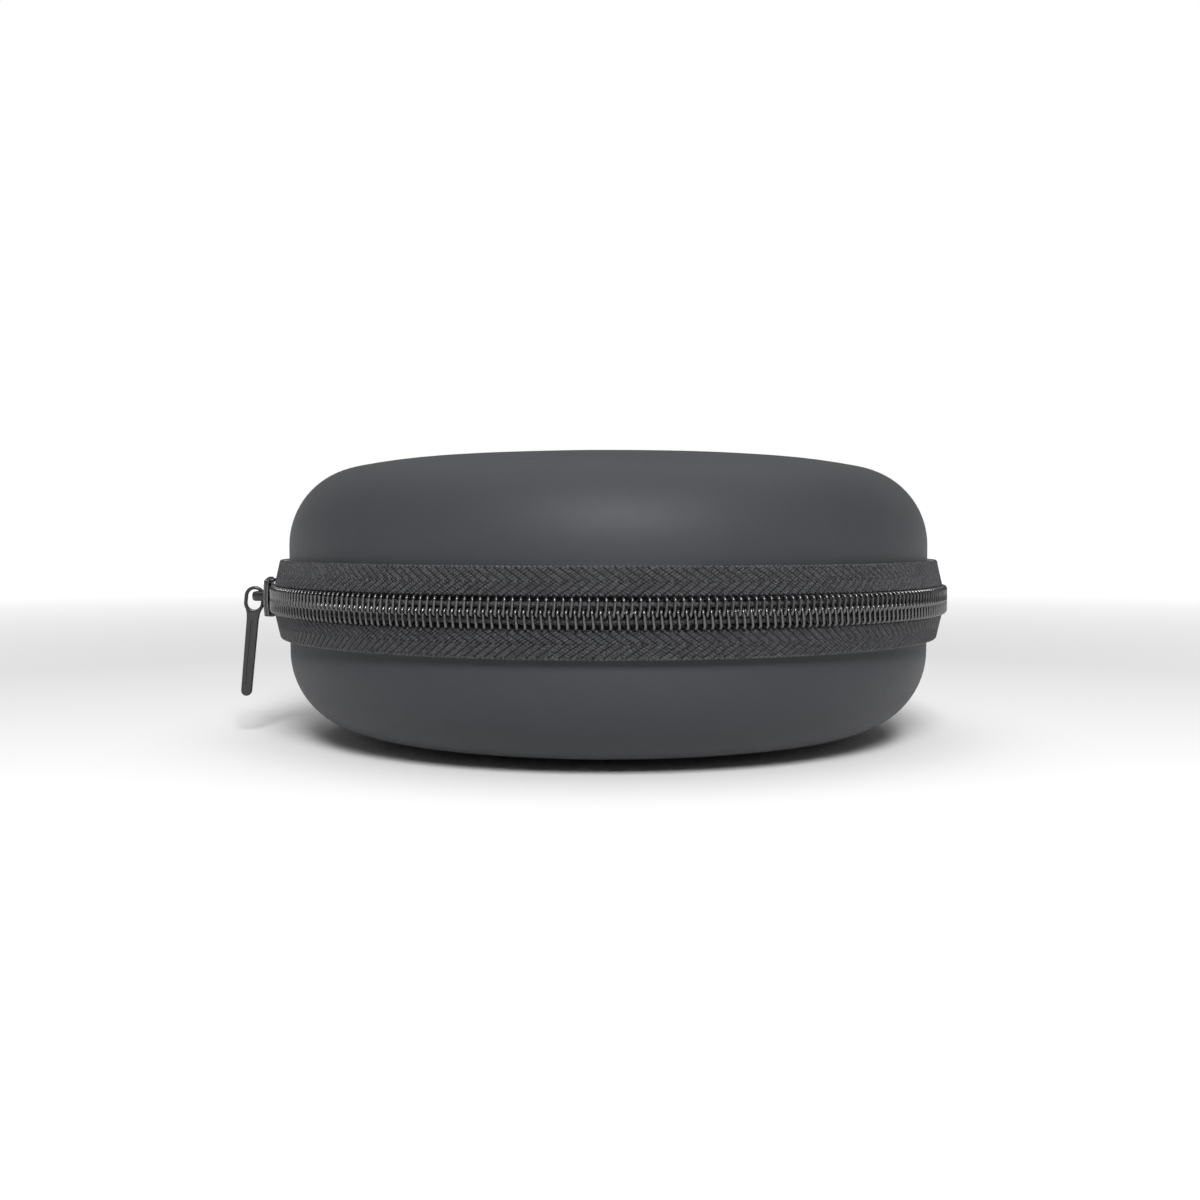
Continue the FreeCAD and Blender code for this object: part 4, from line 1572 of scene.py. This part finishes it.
# --- studio -------------------------------------------------------------------------------


@dataclass
class Studio:
    """Floor, soft lights and camera.

    Args:
        measures: The case's measures.
        azimuth: Direction of the camera round the case, from its front.
        distance: Level distance from the case's axis to the camera.
        rise: Height of the camera above the zip.
        aim_drop: How far below the zip's middle the camera aims.
        aim_left: How far to the left of the axis it aims.
        lens: Focal length in mm.
        backdrop: Brightness of the surround as the camera sees it.
        ambient: Brightness of the surround as it lights the case.
        far_glow: Brightness that the floor gains with distance, to meet the backdrop.
        glow_start: Distance from the case's axis at which that begins, in metres.
    """

    measures: Measures
    azimuth: float = math.radians(-68.0)
    distance: float = 346.5 * MM
    rise: float = 15.3 * MM
    aim_drop: float = 1.2 * MM
    aim_left: float = 2.0 * MM
    lens: float = 41.4
    backdrop: float = 1.0
    ambient: float = 0.18
    far_glow: float = 0.88
    glow_start: float = 0.25

    def right(self) -> Vector:
        """Direction to the camera's right."""
        return Vector((math.cos(self.azimuth), math.sin(self.azimuth), 0))

    def away(self) -> Vector:
        """Direction from the case to the camera, level."""
        return Vector((math.sin(self.azimuth), -math.cos(self.azimuth), 0))

    def camera(self) -> None:
        """Set the camera low in front of the zip."""
        deselect()
        height = self.measures.zip_height
        place = self.away() * self.distance + Vector((0, 0, height + self.rise))
        target = Vector((0, 0, height - self.aim_drop)) - self.right() * self.aim_left
        bpy.ops.object.camera_add(location=place)
        camera = bpy.context.active_object
        camera.rotation_euler = (target - place).to_track_quat("-Z", "Y").to_euler()
        camera.data.lens = self.lens
        camera.data.sensor_width = 36.0
        camera.data.clip_start = 0.01
        bpy.context.scene.camera = camera

    def floor(self) -> None:
        """Plain pale floor."""
        deselect()
        bpy.ops.mesh.primitive_plane_add(size=30.0, location=(0, 0, 0))
        floor = bpy.context.active_object
        floor.name = "studio_floor"
        material = bpy.data.materials.new("pale_floor")
        material.use_nodes = True
        shader = Shader(material.node_tree)
        principled = material.node_tree.nodes["Principled BSDF"]
        shader.dial(
            principled, Base_Color=opaque((0.8, 0.8, 0.8)), Roughness=0.9, Specular_IOR_Level=0.1,
            Emission_Color=opaque((1.0, 1.0, 1.0)),
        )
        reach = shader.node("VectorMath", operation="LENGTH")
        shader.feed(reach.inputs[0], shader.place())
        far = shader.math("SUBTRACT", reach.outputs["Value"], self.glow_start, clamp=True)
        glow = shader.math("MULTIPLY", far, self.far_glow)
        shader.feed(principled.inputs["Emission Strength"], glow)
        floor.data.materials.append(material)

    def softbox(
        self, name: str, side: float, front: float, height: float, size: float, power: float
    ) -> None:
        """A square soft light that faces the case.

        Args:
            name: The light's name.
            side: Distance to the camera's right.
            front: Distance towards the camera.
            height: Height above the floor.
            size: Length of its side.
            power: Its power in watts.
        """
        place = self.right() * side + self.away() * front + Vector((0, 0, height))
        deselect()
        bpy.ops.object.light_add(type="AREA", location=place)
        light = bpy.context.active_object
        light.name = name
        target = Vector((0, 0, self.measures.zip_height))
        light.rotation_euler = (target - place).to_track_quat("-Z", "Y").to_euler()
        light.data.shape = "SQUARE"
        light.data.size = size
        light.data.energy = power

    def lights(self) -> None:
        """Soft key above and in front, gentle fills, and a pale surround."""
        self.softbox("key", 0.05, 0.72, 0.58, 0.30, 9.0)
        self.softbox("top", 0.0, -0.2, 1.7, 2.2, 16.0)
        self.softbox("fill_left", -0.8, 0.4, 0.3, 0.5, 0.3)
        self.softbox("fill_right", 0.8, 0.4, 0.3, 0.5, 0.3)
        world = bpy.data.worlds.new("pale_surround")
        world.use_nodes = True
        shader = Shader(world.node_tree)
        background = world.node_tree.nodes["Background"]
        seen = shader.node("LightPath").outputs["Is Camera Ray"]
        strength = shader.math("MULTIPLY_ADD", seen, self.backdrop - self.ambient, self.ambient)
        shader.feed(background.inputs["Strength"], strength)
        background.inputs["Color"].default_value = (1.0, 1.0, 1.0, 1)
        bpy.context.scene.world = world

    def build(self) -> None:
        """Set up the floor, the lights and the camera."""
        self.camera()
        self.floor()
        self.lights()
        bpy.context.scene.view_settings.view_transform = "Standard"


def main() -> None:
    """Build every sub-assembly in order."""
    logging.basicConfig(level=logging.INFO, format="%(name)s: %(message)s")
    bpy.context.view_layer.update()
    measures = Measures.from_frame()
    Studio(measures).build()
    wardrobe = Wardrobe()
    for half in Half:
        Shell(measures, wardrobe, half).build()
        ZipSide(measures, wardrobe, half).build()
    Hinge(measures, wardrobe).build()
    Pocket(measures, wardrobe).build()
    Slider(measures, wardrobe).build()
    Pull(measures, wardrobe).build()


if __name__ == "__main__":
    main()
